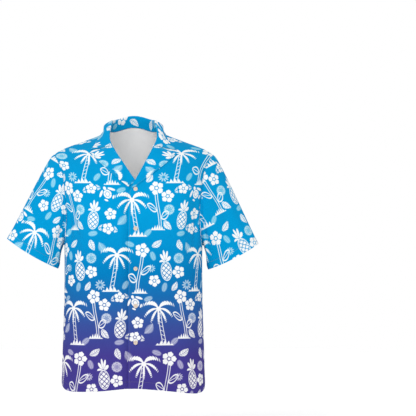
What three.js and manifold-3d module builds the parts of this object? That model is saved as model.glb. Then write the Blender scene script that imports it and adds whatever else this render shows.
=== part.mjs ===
// A short-sleeved shirt with a camp collar, filled out as if worn, with nothing inside it.
// Millimetres, +Z up. The shirt's front faces -Y and the wearer's left is on the +X side.
// The origin is the middle of the neck, at the height where the shoulder seams reach it.
// Every piece of cloth is a thin closed wall, and neighbours stand a seam gap apart.

import * as THREE from "three";
import { mergeVertices } from "three/addons/utils/BufferGeometryUtils.js";
import Module from "manifold-3d";

// The cloth and how the pieces meet
const CLOTH = 1.5;
const SEAM_GAP = 0.3;
const NECK_GAP = 0.6;
const LEAF_GAP = 1;

// The body: hem, the level above which it bends in to the shoulders, and its rounded cross-section
const HEM_LEVEL = -727;
const UNDERARM_LEVEL = -325;
const BEND_LEVEL = -150;
const ROUNDNESS = 2.6;
const BODY_SECTIONS = [
  { level: -727, halfWidth: 201, front: 127, back: 118 },
  { level: -600, halfWidth: 197.5, front: 127, back: 117 },
  { level: -468, halfWidth: 193.5, front: 128, back: 116 },
  { level: -325, halfWidth: 193, front: 131, back: 118 },
  { level: -240, halfWidth: 198, front: 132, back: 120 },
  { level: -150, halfWidth: 206, front: 128, back: 119 },
];

// The hem round each face. It rises to a soft corner at each side seam.
const HEM = [
  { share: -1.12, front: -710, back: -712 },
  { share: -1, front: -700, back: -700 },
  { share: -0.88, front: -710, back: -712 },
  { share: -0.7, front: -723, back: -724 },
  { share: -0.35, front: -722, back: -728 },
  { share: 0, front: -714, back: -730 },
  { share: 0.35, front: -721, back: -728 },
  { share: 0.7, front: -730, back: -725 },
  { share: 0.88, front: -720, back: -715 },
  { share: 1, front: -704, back: -704 },
  { share: 1.12, front: -720, back: -715 },
];

// The shoulder seam from the neck to its tip, seen from the front
const SHOULDER_SEAM = [
  { x: 68, z: 2 },
  { x: 99, z: -13 },
  { x: 141, z: -29 },
  { x: 192, z: -48 },
  { x: 223, z: -64 },
];
const SHOULDER_FORWARD = 6;

// The neck: how far back its seam lies in the middle, and how much each face would rise over the
// neck if the hole weren't cut out of it: going on from the shoulders, and steeper in the middle
const NECK_HALF_WIDTH = SHOULDER_SEAM[0].x;
const NECK_BACK = 62;
const NECK_RISE = 16;
const NECK_PEAK = { front: 0, back: 32 };
const NECK_SHARE = 0.27;

// The armhole reaches this far forward and back of the side seam, at this level
const ARMHOLE_LEVEL = -190;
const ARMHOLE_FRONT = 60;
const ARMHOLE_BACK = 62;

// Inner edges of the two fronts, seen from the front: the placket edge, then the fold of the lapel
const LEFT_FRONT_EDGE = [
  { z: -170, x: -12 },
  { z: -143, x: 8 },
  { z: -94, x: 35 },
  { z: -45, x: 60 },
  { z: -26, x: 68 },
  { z: -8, x: 69 },
  { z: 2, x: 68 },
];
const RIGHT_FRONT_EDGE = [
  { z: -170, x: 26 },
  { z: -143, x: 8 },
  { z: -94, x: -26 },
  { z: -45, x: -58 },
  { z: -26, x: -66 },
  { z: -8, x: -68 },
  { z: 2, x: -68 },
];
const OVERLAP_DIP = 5;

// Collar and lapels, seen from the front or from behind. Each row is a line across the turned
// leaf: where its fold is (the turn round the back of the neck, from 0 in the middle to 1 at the
// shoulder seam, or the fold's level on a front), how high the stand is, how far it leans into the
// neck, how wide the roll is, and where the leaf's edge lies.
const COLLAR_BACK = [
  { turn: 0, stand: 33, lean: 2, roll: 7, edgeX: 0, edgeZ: -25 },
  { turn: 0.35, stand: 33, lean: 2.5, roll: 7, edgeX: 40, edgeZ: -26 },
  { turn: 0.7, stand: 31, lean: 5, roll: 6, edgeX: 74, edgeZ: -23 },
  { turn: 1, stand: 26, lean: 8, roll: 5, edgeX: 88, edgeZ: -8 },
];
const COLLAR_LEFT = [
  { foldZ: 2, stand: 26, lean: 8, roll: 5, edgeX: 88, edgeZ: -8 },
  { foldZ: -14, stand: 14, lean: 3, roll: 4.5, edgeX: 97, edgeZ: -28 },
  { foldZ: -30, stand: 5, lean: 1, roll: 3, edgeX: 108, edgeZ: -43 },
  { foldZ: -43, stand: 2.5, lean: 0.8, roll: 1.4, edgeX: 122, edgeZ: -56 },
];
const COLLAR_RIGHT = [
  { foldZ: 2, stand: 26, lean: 8, roll: 5, edgeX: -88, edgeZ: -8 },
  { foldZ: -14, stand: 14, lean: 3, roll: 4.5, edgeX: -98, edgeZ: -26 },
  { foldZ: -30, stand: 5, lean: 1, roll: 3, edgeX: -106, edgeZ: -41 },
  { foldZ: -43, stand: 2.5, lean: 0.8, roll: 1.4, edgeX: -116, edgeZ: -55 },
];
const LAPEL_LEFT = [
  { foldZ: -43.8, stand: 2.5, lean: 0.8, roll: 1.4, edgeX: 123, edgeZ: -66 },
  { foldZ: -90, stand: 2.5, lean: 0.8, roll: 1.4, edgeX: 84, edgeZ: -99 },
  { foldZ: -135, stand: 2.5, lean: 0.8, roll: 1.4, edgeX: 36, edgeZ: -136 },
  { foldZ: -160, stand: 2.5, lean: 0.8, roll: 1.4, edgeX: 6, edgeZ: -157 },
];
const LAPEL_RIGHT = [
  { foldZ: -43.8, stand: 2.5, lean: 0.8, roll: 1.4, edgeX: -119, edgeZ: -65 },
  { foldZ: -80, stand: 2.5, lean: 0.8, roll: 1.4, edgeX: -88, edgeZ: -92 },
  { foldZ: -115, stand: 2.5, lean: 0.8, roll: 1.4, edgeX: -48, edgeZ: -128 },
  { foldZ: -143, stand: 2.5, lean: 0.8, roll: 1.4, edgeX: -12, edgeZ: -156 },
];

// A leaf's line after its seam: up the stand (shares of its height and of its lean), then lying on
// the cloth below (shares of the way to its edge, and of the height it still has to lose)
const STAND_STEPS = [
  { height: 0.4, lean: 0.6 },
  { height: 0.85, lean: 1 },
];
const LYING_STEPS = [
  { along: 0.3, height: 0.72 },
  { along: 0.55, height: 0.34 },
  { along: 0.8, height: 0.08 },
  { along: 1, height: 0 },
];

// The cuffs: their outer and inner ends seen from the front, and half their depth
const CUFF_LEFT = { outerX: 350, outerZ: -316, innerX: 209, innerZ: -388, halfDepth: 38 };
const CUFF_RIGHT = { outerX: -354, outerZ: -301, innerX: -211, innerZ: -385, halfDepth: 38 };
const CUFF_SAG = 5;

// How strongly a sleeve leaves the armhole, at its top and elsewhere, and which way its top goes
const SLEEVE_PULL = { top: 80, elsewhere: 110, bulge: 0.25 };
const SHOULDER_WAY = { x: 0.87, z: -0.49, strength: 1.6 };

// The largest folds: a soft trough (depth below zero) or ridge in one face of the body. x and z say
// where its middle is, lean how far it moves sideways for each step down.
const BODY_FOLDS = [
  { face: "front", x: -166, z: -250, halfLength: 130, lean: 0.1, width: 16, depth: -9 },
  { face: "front", x: 166, z: -255, halfLength: 130, lean: -0.1, width: 16, depth: -9 },
  { face: "front", x: -128, z: -330, halfLength: 150, lean: -0.28, width: 24, depth: 4 },
  { face: "front", x: 132, z: -350, halfLength: 150, lean: 0.25, width: 24, depth: 4 },
  { face: "front", x: -86, z: -640, halfLength: 150, lean: 0.08, width: 26, depth: -5 },
  { face: "front", x: 96, z: -650, halfLength: 140, lean: -0.06, width: 28, depth: -5 },
  { face: "front", x: 150, z: -640, halfLength: 150, lean: 0.05, width: 20, depth: 5 },
  { face: "front", x: -146, z: -620, halfLength: 170, lean: -0.04, width: 22, depth: 5 },
  { face: "back", x: -160, z: -245, halfLength: 130, lean: 0.12, width: 16, depth: -10 },
  { face: "back", x: 160, z: -250, halfLength: 130, lean: -0.12, width: 16, depth: -10 },
  { face: "back", x: -60, z: -420, halfLength: 260, lean: -0.05, width: 30, depth: -5 },
  { face: "back", x: 64, z: -440, halfLength: 260, lean: 0.05, width: 30, depth: -5 },
  { face: "back", x: 0, z: -600, halfLength: 200, lean: 0, width: 34, depth: 5 },
  { face: "back", x: -130, z: -640, halfLength: 150, lean: 0.05, width: 24, depth: 5 },
  { face: "back", x: 130, z: -630, halfLength: 150, lean: -0.05, width: 24, depth: 5 },
];

// Sleeve creases: where round the sleeve (0 top, 0.25 front, 0.5 underarm, 0.75 back), where along
// it, and how deep.
const SLEEVE_FOLDS = [
  { around: 0.17, along: 0.5, halfLength: 0.6, width: 0.035, depth: -6 },
  { around: 0.3, along: 0.35, halfLength: 0.5, width: 0.03, depth: 4 },
  { around: 0.38, along: 0.3, halfLength: 0.5, width: 0.035, depth: -6 },
  { around: 0.66, along: 0.35, halfLength: 0.5, width: 0.035, depth: -6 },
  { around: 0.82, along: 0.5, halfLength: 0.6, width: 0.035, depth: -6 },
];

// The buttons on the left front
const BUTTON_X = 9;
const BUTTON_LEVELS = [-163, -272, -383, -486, -587];
const BUTTON_RADIUS = 5.7;
const BUTTON_HEIGHT = 2.4;
const BUTTON_HOLE_RADIUS = 0.8;
const BUTTON_HOLE_OFFSET = 1.35;

// How finely the cloth is divided
const LEVELS_BELOW_BEND = [
  -727, -700, -640, -580, -520, -460, -400, -350, -325, -308, -282, -250, -215, -185, -170, -150,
];
const STEPS_ABOVE_BEND = 11;
const FRONT_COLUMNS = 12;
const BACK_NECK_COLUMNS = 5;
const BACK_SIDE_COLUMNS = 6;
const SLEEVE_STEPS = 10;
const COLLAR_STEPS = 36;
const LAPEL_STEPS = 10;
const LEAF_STEPS = 10;

const CYAN = 0x1aa0de;
const BLUE = 0x3f78b4;
const TAN = 0xd9b48f;

const clamp = (value, low, high) => Math.min(high, Math.max(low, value));
const mix = (a, b, t) => a + (b - a) * t;
const smooth = (t) => {
  const c = clamp(t, 0, 1);
  return c * c * (3 - 2 * c);
};

// A smooth value out of one column of a table, whose rows rise or fall in the key column.
function lookUp(rows, key, column, at) {
  const rising = rows[rows.length - 1][key] > rows[0][key];
  const list = rising ? rows : [...rows].reverse();
  const last = list.length - 1;
  const value = clamp(at, list[0][key], list[last][key]);
  let i = 0;
  while (i < last - 1 && value > list[i + 1][key]) i += 1;
  const slope = (k) => {
    const a = list[Math.max(k - 1, 0)];
    const b = list[Math.min(k + 1, last)];
    return (b[column] - a[column]) / (b[key] - a[key]);
  };
  const step = list[i + 1][key] - list[i][key];
  const t = (value - list[i][key]) / step;
  const bend = t * t * (3 - 2 * t);
  return (
    mix(list[i][column], list[i + 1][column], bend) +
    step * (t * (1 - t) * (1 - t) * slope(i) - t * t * (1 - t) * slope(i + 1))
  );
}

// The angle round a rounded quarter section at an even share of its length.
const QUARTER = (() => {
  const steps = 240;
  const depth = 0.64;
  const angles = [0];
  const lengths = [0];
  let before = new THREE.Vector2(0, depth);
  for (let i = 1; i <= steps; i += 1) {
    const angle = ((i / steps) * Math.PI) / 2;
    const here = new THREE.Vector2(
      Math.sin(angle) ** (2 / ROUNDNESS),
      depth * Math.max(Math.cos(angle), 0) ** (2 / ROUNDNESS),
    );
    lengths.push(lengths[i - 1] + here.distanceTo(before));
    angles.push(angle);
    before = here;
  }
  return { angles, lengths };
})();

function angleAt(share) {
  const { angles, lengths } = QUARTER;
  const wanted = clamp(share, 0, 1) * lengths[lengths.length - 1];
  let low = 0;
  let high = lengths.length - 1;
  while (high - low > 1) {
    const middle = (low + high) >> 1;
    if (lengths[middle] > wanted) high = middle;
    else low = middle;
  }
  const t = (wanted - lengths[low]) / (lengths[high] - lengths[low]);
  return mix(angles[low], angles[high], t);
}

// A point of the level ring round the body. share runs from the middle (0) to the side seam (1),
// below zero on the wearer's right.
function ringPoint(face, share, level) {
  const angle = angleAt(Math.abs(share));
  const halfWidth = lookUp(BODY_SECTIONS, "level", "halfWidth", level);
  const depth = lookUp(BODY_SECTIONS, "level", face, level);
  const x = halfWidth * Math.sin(angle) ** (2 / ROUNDNESS);
  const y = depth * Math.max(Math.cos(angle), 0) ** (2 / ROUNDNESS);
  return new THREE.Vector3(Math.sign(share) * x, face === "front" ? -y : y, level);
}

// The armhole's share of the ring at a level, found from how far it reaches forward or back.
function armholeShare(face, level) {
  const reach = face === "front" ? ARMHOLE_FRONT : ARMHOLE_BACK;
  const drop = (ARMHOLE_LEVEL - level) / (ARMHOLE_LEVEL - UNDERARM_LEVEL);
  const wanted = level > ARMHOLE_LEVEL ? reach : reach * Math.sqrt(Math.max(0, 1 - drop * drop));
  let low = 0.5;
  let high = 1;
  for (let i = 0; i < 40; i += 1) {
    const middle = (low + high) / 2;
    if (Math.abs(ringPoint(face, middle, level).y) > wanted) low = middle;
    else high = middle;
  }
  return low;
}

const ARM_SHARE = {
  front: armholeShare("front", BEND_LEVEL),
  back: armholeShare("back", BEND_LEVEL),
};

// The body's top edge: the uncut ridge over the neck up to NECK_SHARE, then the shoulder seam.
function topPoint(face, share) {
  const side = Math.sign(share);
  const size = Math.abs(share);
  if (size < NECK_SHARE) {
    const across = size / NECK_SHARE;
    const inward = 1 - across * across;
    const z = SHOULDER_SEAM[0].z + NECK_RISE * inward + NECK_PEAK[face] * inward * inward;
    return new THREE.Vector3(side * NECK_HALF_WIDTH * across, SHOULDER_FORWARD, z);
  }
  const tip = SHOULDER_SEAM[SHOULDER_SEAM.length - 1].x;
  const t = (size - NECK_SHARE) / (ARM_SHARE[face] - NECK_SHARE);
  const x = mix(NECK_HALF_WIDTH, tip, Math.min(t, 1));
  const z = lookUp(SHOULDER_SEAM, "x", "z", x);
  return new THREE.Vector3(side * x, mix(SHOULDER_FORWARD, 0, Math.min(t, 1)), z);
}

// The body's surface before its folds. rise runs from the hem (0) to the bend (1) and on to the
// top edge (2).
function basePoint(face, share, rise) {
  if (rise <= 1) {
    const level = mix(lookUp(HEM, "share", face, share), BEND_LEVEL, rise);
    return ringPoint(face, share, level);
  }
  const low = ringPoint(face, share, BEND_LEVEL);
  const high = topPoint(face, share);
  const out = Math.sign(low.y) || (face === "front" ? -1 : 1);
  const reach = 0.52 * Math.abs(low.y - high.y);
  const neckness = smooth((NECK_SHARE * 1.5 - Math.abs(share)) / (NECK_SHARE * 1.5));
  const curve = new THREE.CubicBezierCurve3(
    low,
    new THREE.Vector3(low.x, low.y, mix(low.z, high.z, 0.5)),
    new THREE.Vector3(high.x, high.y + out * reach, high.z - reach * mix(0.12, 0.35, neckness)),
    high,
  );
  return curve.getPoint(rise - 1);
}

function normalOf(surface, share, rise) {
  const step = 0.004;
  const riseLow = Math.max(rise - step, 0);
  const riseHigh = Math.min(rise + step, 2);
  const across = surface(share + step, rise).sub(surface(share - step, rise));
  const up = surface(share, riseHigh).sub(surface(share, riseLow));
  const normal = across.cross(up).normalize();
  const here = surface(share, rise);
  const outward = new THREE.Vector3(here.x, here.y, 90);
  return normal.dot(outward) < 0 ? normal.negate() : normal;
}

function foldDepth(face, x, z) {
  let depth = 0;
  for (const fold of BODY_FOLDS) {
    if (fold.face !== face) continue;
    const along = (z - fold.z) / fold.halfLength;
    if (Math.abs(along) >= 1) continue;
    const across = (x - fold.x - fold.lean * (fold.z - z)) / fold.width;
    depth += fold.depth * Math.cos((along * Math.PI) / 2) ** 2 * Math.exp(-across * across);
  }
  return depth;
}

// The three body surfaces with their folds. The right front dips under the left one.
const SURFACES = {};
for (const [name, face] of [["leftFront", "front"], ["rightFront", "front"], ["back", "back"]]) {
  const base = (share, rise) => basePoint(face, share, rise);
  SURFACES[name] = (share, rise) => {
    const point = base(share, rise);
    let move = foldDepth(face, point.x, point.z);
    if (name === "rightFront") move -= OVERLAP_DIP * smooth((point.x + 34) / 20);
    return point.addScaledVector(normalOf(base, share, rise), move);
  };
}

// Where a point seen at x, z from straight ahead lies on a surface.
function placeOf(surface, x, z) {
  const shareAt = (rise) => {
    let low = -1;
    let high = 1;
    for (let i = 0; i < 22; i += 1) {
      const middle = (low + high) / 2;
      if (surface(middle, rise).x < x) low = middle;
      else high = middle;
    }
    return (low + high) / 2;
  };
  let low = 0;
  let high = 2;
  for (let i = 0; i < 22; i += 1) {
    const middle = (low + high) / 2;
    if (surface(shareAt(middle), middle).z < z) low = middle;
    else high = middle;
  }
  const rise = (low + high) / 2;
  return { share: shareAt(rise), rise };
}

// A closed wall from a grid of outer points and a matching grid of inner points. wrap joins the
// last column to the first.
function wall(outer, inner, wrap = false) {
  const rows = outer.length;
  const columns = outer[0].length;
  const positions = [...outer.flat(), ...inner.flat()].flatMap((p) => [p.x, p.y, p.z]);
  const out = (j, i) => j * columns + (i % columns);
  const back = (j, i) => rows * columns + out(j, i);
  const faces = [];
  const quad = (a, b, c, d) => faces.push(a, b, c, a, c, d);
  const lastColumn = wrap ? columns : columns - 1;
  for (let j = 0; j < rows - 1; j += 1)
    for (let i = 0; i < lastColumn; i += 1) {
      quad(out(j, i), out(j, i + 1), out(j + 1, i + 1), out(j + 1, i));
      quad(back(j, i), back(j + 1, i), back(j + 1, i + 1), back(j, i + 1));
    }
  for (let i = 0; i < lastColumn; i += 1) {
    quad(out(0, i), back(0, i), back(0, i + 1), out(0, i + 1));
    quad(out(rows - 1, i), out(rows - 1, i + 1), back(rows - 1, i + 1), back(rows - 1, i));
  }
  for (let j = 0; j < rows - 1 && !wrap; j += 1) {
    const end = columns - 1;
    quad(out(j, 0), out(j + 1, 0), back(j + 1, 0), back(j, 0));
    quad(out(j, end), back(j, end), back(j + 1, end), out(j + 1, end));
  }
  let volume = 0;
  for (let k = 0; k < faces.length; k += 3) {
    const [a, b, c] = [0, 1, 2].map((n) =>
      new THREE.Vector3().fromArray(positions, 3 * faces[k + n]),
    );
    volume += a.dot(b.cross(c));
  }
  if (volume < 0) faces.reverse();
  const geometry = new THREE.BufferGeometry();
  geometry.setAttribute("position", new THREE.Float32BufferAttribute(positions, 3));
  geometry.setIndex(faces);
  geometry.computeVertexNormals();
  return geometry;
}

// The rise at which the back is cut off: its neckline, or the shoulder seam beside it.
function backTop(share) {
  const across = Math.abs(share) / NECK_SHARE;
  if (across >= 1) return 2;
  const wanted = mix(SHOULDER_FORWARD, NECK_BACK, Math.sqrt(1 - across * across));
  let low = 1;
  let high = 2;
  for (let i = 0; i < 30; i += 1) {
    const middle = (low + high) / 2;
    if (SURFACES.back(share, middle).y > wanted) low = middle;
    else high = middle;
  }
  return (low + high) / 2;
}

// The row steps that all three body pieces share, so that their side and shoulder seams match.
const RISES = (() => {
  const below = LEVELS_BELOW_BEND.map((z) => (z - HEM_LEVEL) / (BEND_LEVEL - HEM_LEVEL));
  const above = [];
  for (let i = 1; i <= STEPS_ABOVE_BEND; i += 1) above.push(1 + i / STEPS_ABOVE_BEND);
  above[above.length - 1] -= 0.002;
  return [...below, ...above];
})();
const UNDERARM_ROW = LEVELS_BELOW_BEND.indexOf(UNDERARM_LEVEL);
const SIDE_TRIM = 0.0006;

function outerShare(face, rise) {
  if (rise > 1) return ARM_SHARE[face];
  const level = mix(HEM_LEVEL, BEND_LEVEL, rise);
  return level <= UNDERARM_LEVEL ? 1 - SIDE_TRIM : armholeShare(face, level) - SIDE_TRIM;
}

// The share where a front's inner edge crosses a row.
function innerShare(surface, edge, rise) {
  let low = -0.5;
  let high = 0.5;
  for (let i = 0; i < 30; i += 1) {
    const middle = (low + high) / 2;
    const point = surface(middle, rise);
    if (point.x < lookUp(edge, "z", "x", point.z)) low = middle;
    else high = middle;
  }
  return (low + high) / 2;
}

// One body piece: a grid of outer points, and its inner points a cloth's thickness within.
// sharesAt gives the shares along a row, and topAt the rise where a column ends.
function bodyPiece(surface, sharesAt, topAt) {
  const outer = [];
  const inner = [];
  for (const rowRise of RISES) {
    const outerRow = [];
    const innerRow = [];
    for (const share of sharesAt(rowRise)) {
      const rise = rowRise > 1 ? mix(1, topAt(share), rowRise - 1) : rowRise;
      const point = surface(share, rise);
      outerRow.push(point);
      innerRow.push(point.clone().addScaledVector(normalOf(surface, share, rise), -CLOTH));
    }
    outer.push(outerRow);
    inner.push(innerRow);
  }
  return { outer, inner };
}

// A sleeve: a tube from the armhole's edge to the oval cuff.
function sleevePiece(side, front, back, cuff) {
  const edgeOf = (piece, atEnd) => {
    const rows = [];
    for (let j = piece.outer.length - 1; j >= UNDERARM_ROW; j -= 1) {
      const row = piece.outer[j];
      const i = atEnd ? row.length - 1 : 0;
      const away = row[i].clone().sub(row[atEnd ? i - 1 : 1]).normalize().multiplyScalar(SEAM_GAP);
      rows.push({ outer: row[i].clone().add(away), inner: piece.inner[j][i].clone().add(away) });
    }
    return rows;
  };
  const loop = [...edgeOf(front, side > 0), ...edgeOf(back, side > 0).reverse()];
  const half = loop.length / 2;
  const place = [];
  for (const start of [0, half]) {
    let length = 0;
    const lengths = [0];
    for (let k = start + 1; k < start + half; k += 1) {
      length += loop[k].outer.distanceTo(loop[k - 1].outer);
      lengths.push(length);
    }
    for (const l of lengths) place.push((start ? 0.5 : 0) + (0.5 * l) / length);
  }
  place.forEach((p, k) => {
    const nudge = k === 0 || k === half ? 0.002 : k === half - 1 || k === 2 * half - 1 ? -0.002 : 0;
    place[k] = p + nudge;
  });

  const outerEnd = new THREE.Vector3(cuff.outerX, 0, cuff.outerZ);
  const innerEnd = new THREE.Vector3(cuff.innerX, 0, cuff.innerZ);
  const middle = outerEnd.clone().add(innerEnd).multiplyScalar(0.5);
  const across = outerEnd.clone().sub(middle);
  const down = new THREE.Vector3(across.z, 0, -across.x).normalize();
  if (down.z > 0) down.negate();
  const shoulder = new THREE.Vector3(side * SHOULDER_WAY.x, 0, SHOULDER_WAY.z);

  const pointAt = (turn, along) => {
    const k = place.findIndex((p) => Math.abs(p - turn) < 1e-9);
    const start = loop[k].outer;
    const angle = turn * 2 * Math.PI;
    const end = middle
      .clone()
      .addScaledVector(across, Math.cos(angle))
      .add(new THREE.Vector3(0, -cuff.halfDepth * Math.sin(angle), 0))
      .addScaledVector(down, CUFF_SAG * Math.sin(angle) ** 2);
    const top = Math.max(0, Math.cos(angle));
    const leave = down
      .clone()
      .addScaledVector(shoulder, SHOULDER_WAY.strength * top)
      .normalize();
    leave.y -= SLEEVE_PULL.bulge * Math.sin(angle);
    leave.multiplyScalar(mix(SLEEVE_PULL.elsewhere, SLEEVE_PULL.top, top));
    const arrive = down.clone().multiplyScalar(0.9 * start.distanceTo(end));
    const t = along;
    return start
      .clone()
      .multiplyScalar(2 * t ** 3 - 3 * t ** 2 + 1)
      .addScaledVector(leave, t ** 3 - 2 * t ** 2 + t)
      .addScaledVector(end, -2 * t ** 3 + 3 * t ** 2)
      .addScaledVector(arrive, t ** 3 - t ** 2);
  };

  const rings = [];
  for (let j = 0; j <= SLEEVE_STEPS; j += 1)
    rings.push(place.map((turn) => pointAt(turn, j / SLEEVE_STEPS)));
  const count = place.length;
  const normalAt = (grid, j, k) => {
    const around = grid[j][(k + 1) % count].clone().sub(grid[j][(k + count - 1) % count]);
    const along = grid[Math.min(j + 1, SLEEVE_STEPS)][k].clone().sub(grid[Math.max(j - 1, 0)][k]);
    const normal = around.cross(along).normalize();
    const axis = grid[j].reduce((sum, p) => sum.add(p), new THREE.Vector3()).divideScalar(count);
    return normal.dot(grid[j][k].clone().sub(axis)) < 0 ? normal.negate() : normal;
  };
  const foldAt = (turn, along) => {
    let depth = 0;
    for (const fold of SLEEVE_FOLDS) {
      const far = (along - fold.along) / fold.halfLength;
      const near = (turn - fold.around) / fold.width;
      if (Math.abs(far) < 1)
        depth += fold.depth * Math.cos((far * Math.PI) / 2) ** 2 * Math.exp(-near * near);
    }
    return depth * smooth(along * 4);
  };
  const folded = rings.map((ring, j) =>
    ring.map((p, k) => {
      const depth = foldAt(place[k], j / SLEEVE_STEPS);
      return p.clone().addScaledVector(normalAt(rings, j, k), depth);
    }),
  );
  const outer = folded.map((ring, j) => (j === 0 ? loop.map((edge) => edge.outer) : ring));
  const inner = folded.map((ring, j) =>
    j === 0
      ? loop.map((edge) => edge.inner)
      : ring.map((p, k) => p.clone().addScaledVector(normalAt(folded, j, k), -CLOTH)),
  );
  return { outer, inner };
}

// A leaf of cloth turned back at the neck: from the seam up the stand, over the roll, and down on
// the piece below. lines holds, for each line across it, the surface it lies on, the seen places
// of its fold and its edge, the stand's height and the roll's width.
function turnedLeaf(lines) {
  const seams = lines.map(({ surface, fold }) => {
    const place = placeOf(surface, fold.x, fold.z);
    return surface(place.share, place.rise);
  });
  const centre = lines.map((line, k) => {
    const { surface, fold, edge, stand, lean, roll, upright } = line;
    const at = (t) => {
      const place = placeOf(surface, mix(fold.x, edge.x, t), mix(fold.z, edge.z, t));
      return {
        point: surface(place.share, place.rise),
        normal: normalOf(surface, place.share, place.rise),
      };
    };
    const seam = at(0);
    const near = at(0.12);
    const run = seams[Math.min(k + 1, lines.length - 1)].clone().sub(seams[Math.max(k - 1, 0)]);
    const out = seam.normal.clone().cross(run).normalize();
    if (out.dot(near.point.clone().sub(seam.point)) < 0) out.negate();
    const up = seam.normal.clone().lerp(new THREE.Vector3(0, 0, 1), upright).normalize();
    const foot = seam.point
      .clone()
      .addScaledVector(seam.normal, -CLOTH / 2)
      .addScaledVector(out, -NECK_GAP - CLOTH / 2);
    const rest = CLOTH / 2 + LEAF_GAP;
    const spare = Math.max(stand - CLOTH - LEAF_GAP, 0);
    const raised = (height, outward) =>
      foot.clone().addScaledVector(up, height).addScaledVector(out, outward);
    const points = [
      foot,
      ...STAND_STEPS.map((step) => raised(step.height * stand, -step.lean * lean)),
      raised(stand, 0.35 * roll - lean + 0.3),
      raised(0.97 * stand, roll - lean + 0.8),
      ...LYING_STEPS.map((step) => {
        const under = at(step.along);
        return under.point.addScaledVector(under.normal, rest + spare * step.height);
      }),
    ];
    const curve = new THREE.CatmullRomCurve3(points, false, "centripetal");
    const list = [];
    for (let i = 0; i <= LEAF_STEPS; i += 1) list.push(curve.getPoint(leafShare(i)));
    return list;
  });
  const outer = [];
  const inner = [];
  centre.forEach((row, j) => {
    const before = centre[Math.max(j - 1, 0)];
    const after = centre[Math.min(j + 1, centre.length - 1)];
    const outerRow = [];
    const innerRow = [];
    row.forEach((p, i) => {
      const across = row[Math.min(i + 1, LEAF_STEPS)].clone().sub(row[Math.max(i - 1, 0)]);
      const along = after[i].clone().sub(before[i]);
      const normal = across.cross(along).normalize();
      outerRow.push(p.clone().addScaledVector(normal, CLOTH / 2));
      innerRow.push(p.clone().addScaledVector(normal, -CLOTH / 2));
    });
    outer.push(outerRow);
    inner.push(innerRow);
  });
  return wall(outer, inner);
}

// Steps across a leaf, closer together round its roll.
function leafShare(i) {
  const even = i / LEAF_STEPS;
  return even < 0.55 ? (even / 0.55) * 0.5 : 0.5 + ((even - 0.55) / 0.45) * 0.5;
}

// The lines of a leaf on a front, from its table, between two levels of its fold.
function frontLines(surface, edgeTable, rows, steps, fromZ, toZ) {
  const lines = [];
  for (let k = 0; k <= steps; k += 1) {
    const z = mix(fromZ, toZ, k / steps);
    const at = (column) => lookUp(rows, "foldZ", column, z);
    lines.push({
      surface,
      fold: { x: lookUp(edgeTable, "z", "x", z), z },
      edge: { x: at("edgeX"), z: at("edgeZ") },
      stand: at("stand"),
      lean: at("lean"),
      roll: at("roll"),
      upright: smooth((z + 34) / 34),
    });
  }
  return lines;
}

function collarLines() {
  const topZ = SHOULDER_SEAM[0].z;
  const endZ = COLLAR_LEFT[COLLAR_LEFT.length - 1].foldZ;
  const frontSteps = Math.round(COLLAR_STEPS * 0.22);
  const backSteps = COLLAR_STEPS - 2 * frontSteps;
  const right = frontLines(
    SURFACES.rightFront, RIGHT_FRONT_EDGE, COLLAR_RIGHT, frontSteps, endZ, topZ,
  );
  const left = frontLines(
    SURFACES.leftFront, LEFT_FRONT_EDGE, COLLAR_LEFT, frontSteps, topZ, endZ,
  );
  const back = [];
  for (let k = 1; k < backSteps; k += 1) {
    const round = mix(-1, 1, k / backSteps);
    const share = NECK_SHARE * Math.sin((round * Math.PI) / 2);
    const neck = SURFACES.back(share, backTop(share));
    const at = (column) => lookUp(COLLAR_BACK, "turn", column, Math.abs(round));
    back.push({
      surface: SURFACES.back,
      fold: { x: neck.x, z: neck.z },
      edge: { x: Math.sign(round) * at("edgeX"), z: at("edgeZ") },
      stand: at("stand"),
      lean: at("lean"),
      roll: at("roll"),
      upright: 1,
    });
  }
  return [...right, ...back, ...left];
}

// A round button with four holes, standing on its flat back.
async function buttonGeometry() {
  const wasm = await Module();
  wasm.setup();
  const solidOf = (geometry) => {
    geometry.deleteAttribute("normal");
    geometry.deleteAttribute("uv");
    const merged = mergeVertices(geometry, 1e-4);
    return new wasm.Manifold(
      new wasm.Mesh({
        numProp: 3,
        vertProperties: merged.attributes.position.array,
        triVerts: new Uint32Array(merged.index.array),
      }),
    );
  };
  const profile = [
    [0, 0],
    [0.86 * BUTTON_RADIUS, 0],
    [BUTTON_RADIUS, 0.35 * BUTTON_HEIGHT],
    [BUTTON_RADIUS, 0.75 * BUTTON_HEIGHT],
    [0.88 * BUTTON_RADIUS, BUTTON_HEIGHT],
    [0.7 * BUTTON_RADIUS, 0.72 * BUTTON_HEIGHT],
    [0, 0.68 * BUTTON_HEIGHT],
  ].map(([x, y]) => new THREE.Vector2(x, y));
  let solid = solidOf(new THREE.LatheGeometry(profile, 18).rotateX(Math.PI / 2));
  for (const [sideX, sideY] of [[1, 1], [-1, 1], [-1, -1], [1, -1]]) {
    const drill = new THREE.CylinderGeometry(
      BUTTON_HOLE_RADIUS, BUTTON_HOLE_RADIUS, 3 * BUTTON_HEIGHT, 6,
    ).rotateX(Math.PI / 2);
    drill.translate(sideX * BUTTON_HOLE_OFFSET, sideY * BUTTON_HOLE_OFFSET, 0);
    solid = solid.subtract(solidOf(drill));
  }
  const mesh = solid.getMesh();
  const geometry = new THREE.BufferGeometry();
  geometry.setAttribute("position", new THREE.BufferAttribute(mesh.vertProperties, 3));
  geometry.setIndex(new THREE.BufferAttribute(mesh.triVerts, 1));
  geometry.computeVertexNormals();
  return geometry;
}

const group = new THREE.Group();

function addCloth(name, geometry, colour) {
  const material = new THREE.MeshStandardMaterial({
    color: colour,
    roughness: 0.85,
    metalness: 0,
    side: THREE.DoubleSide,
  });
  const mesh = new THREE.Mesh(geometry, material);
  mesh.name = name;
  group.add(mesh);
}

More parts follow.
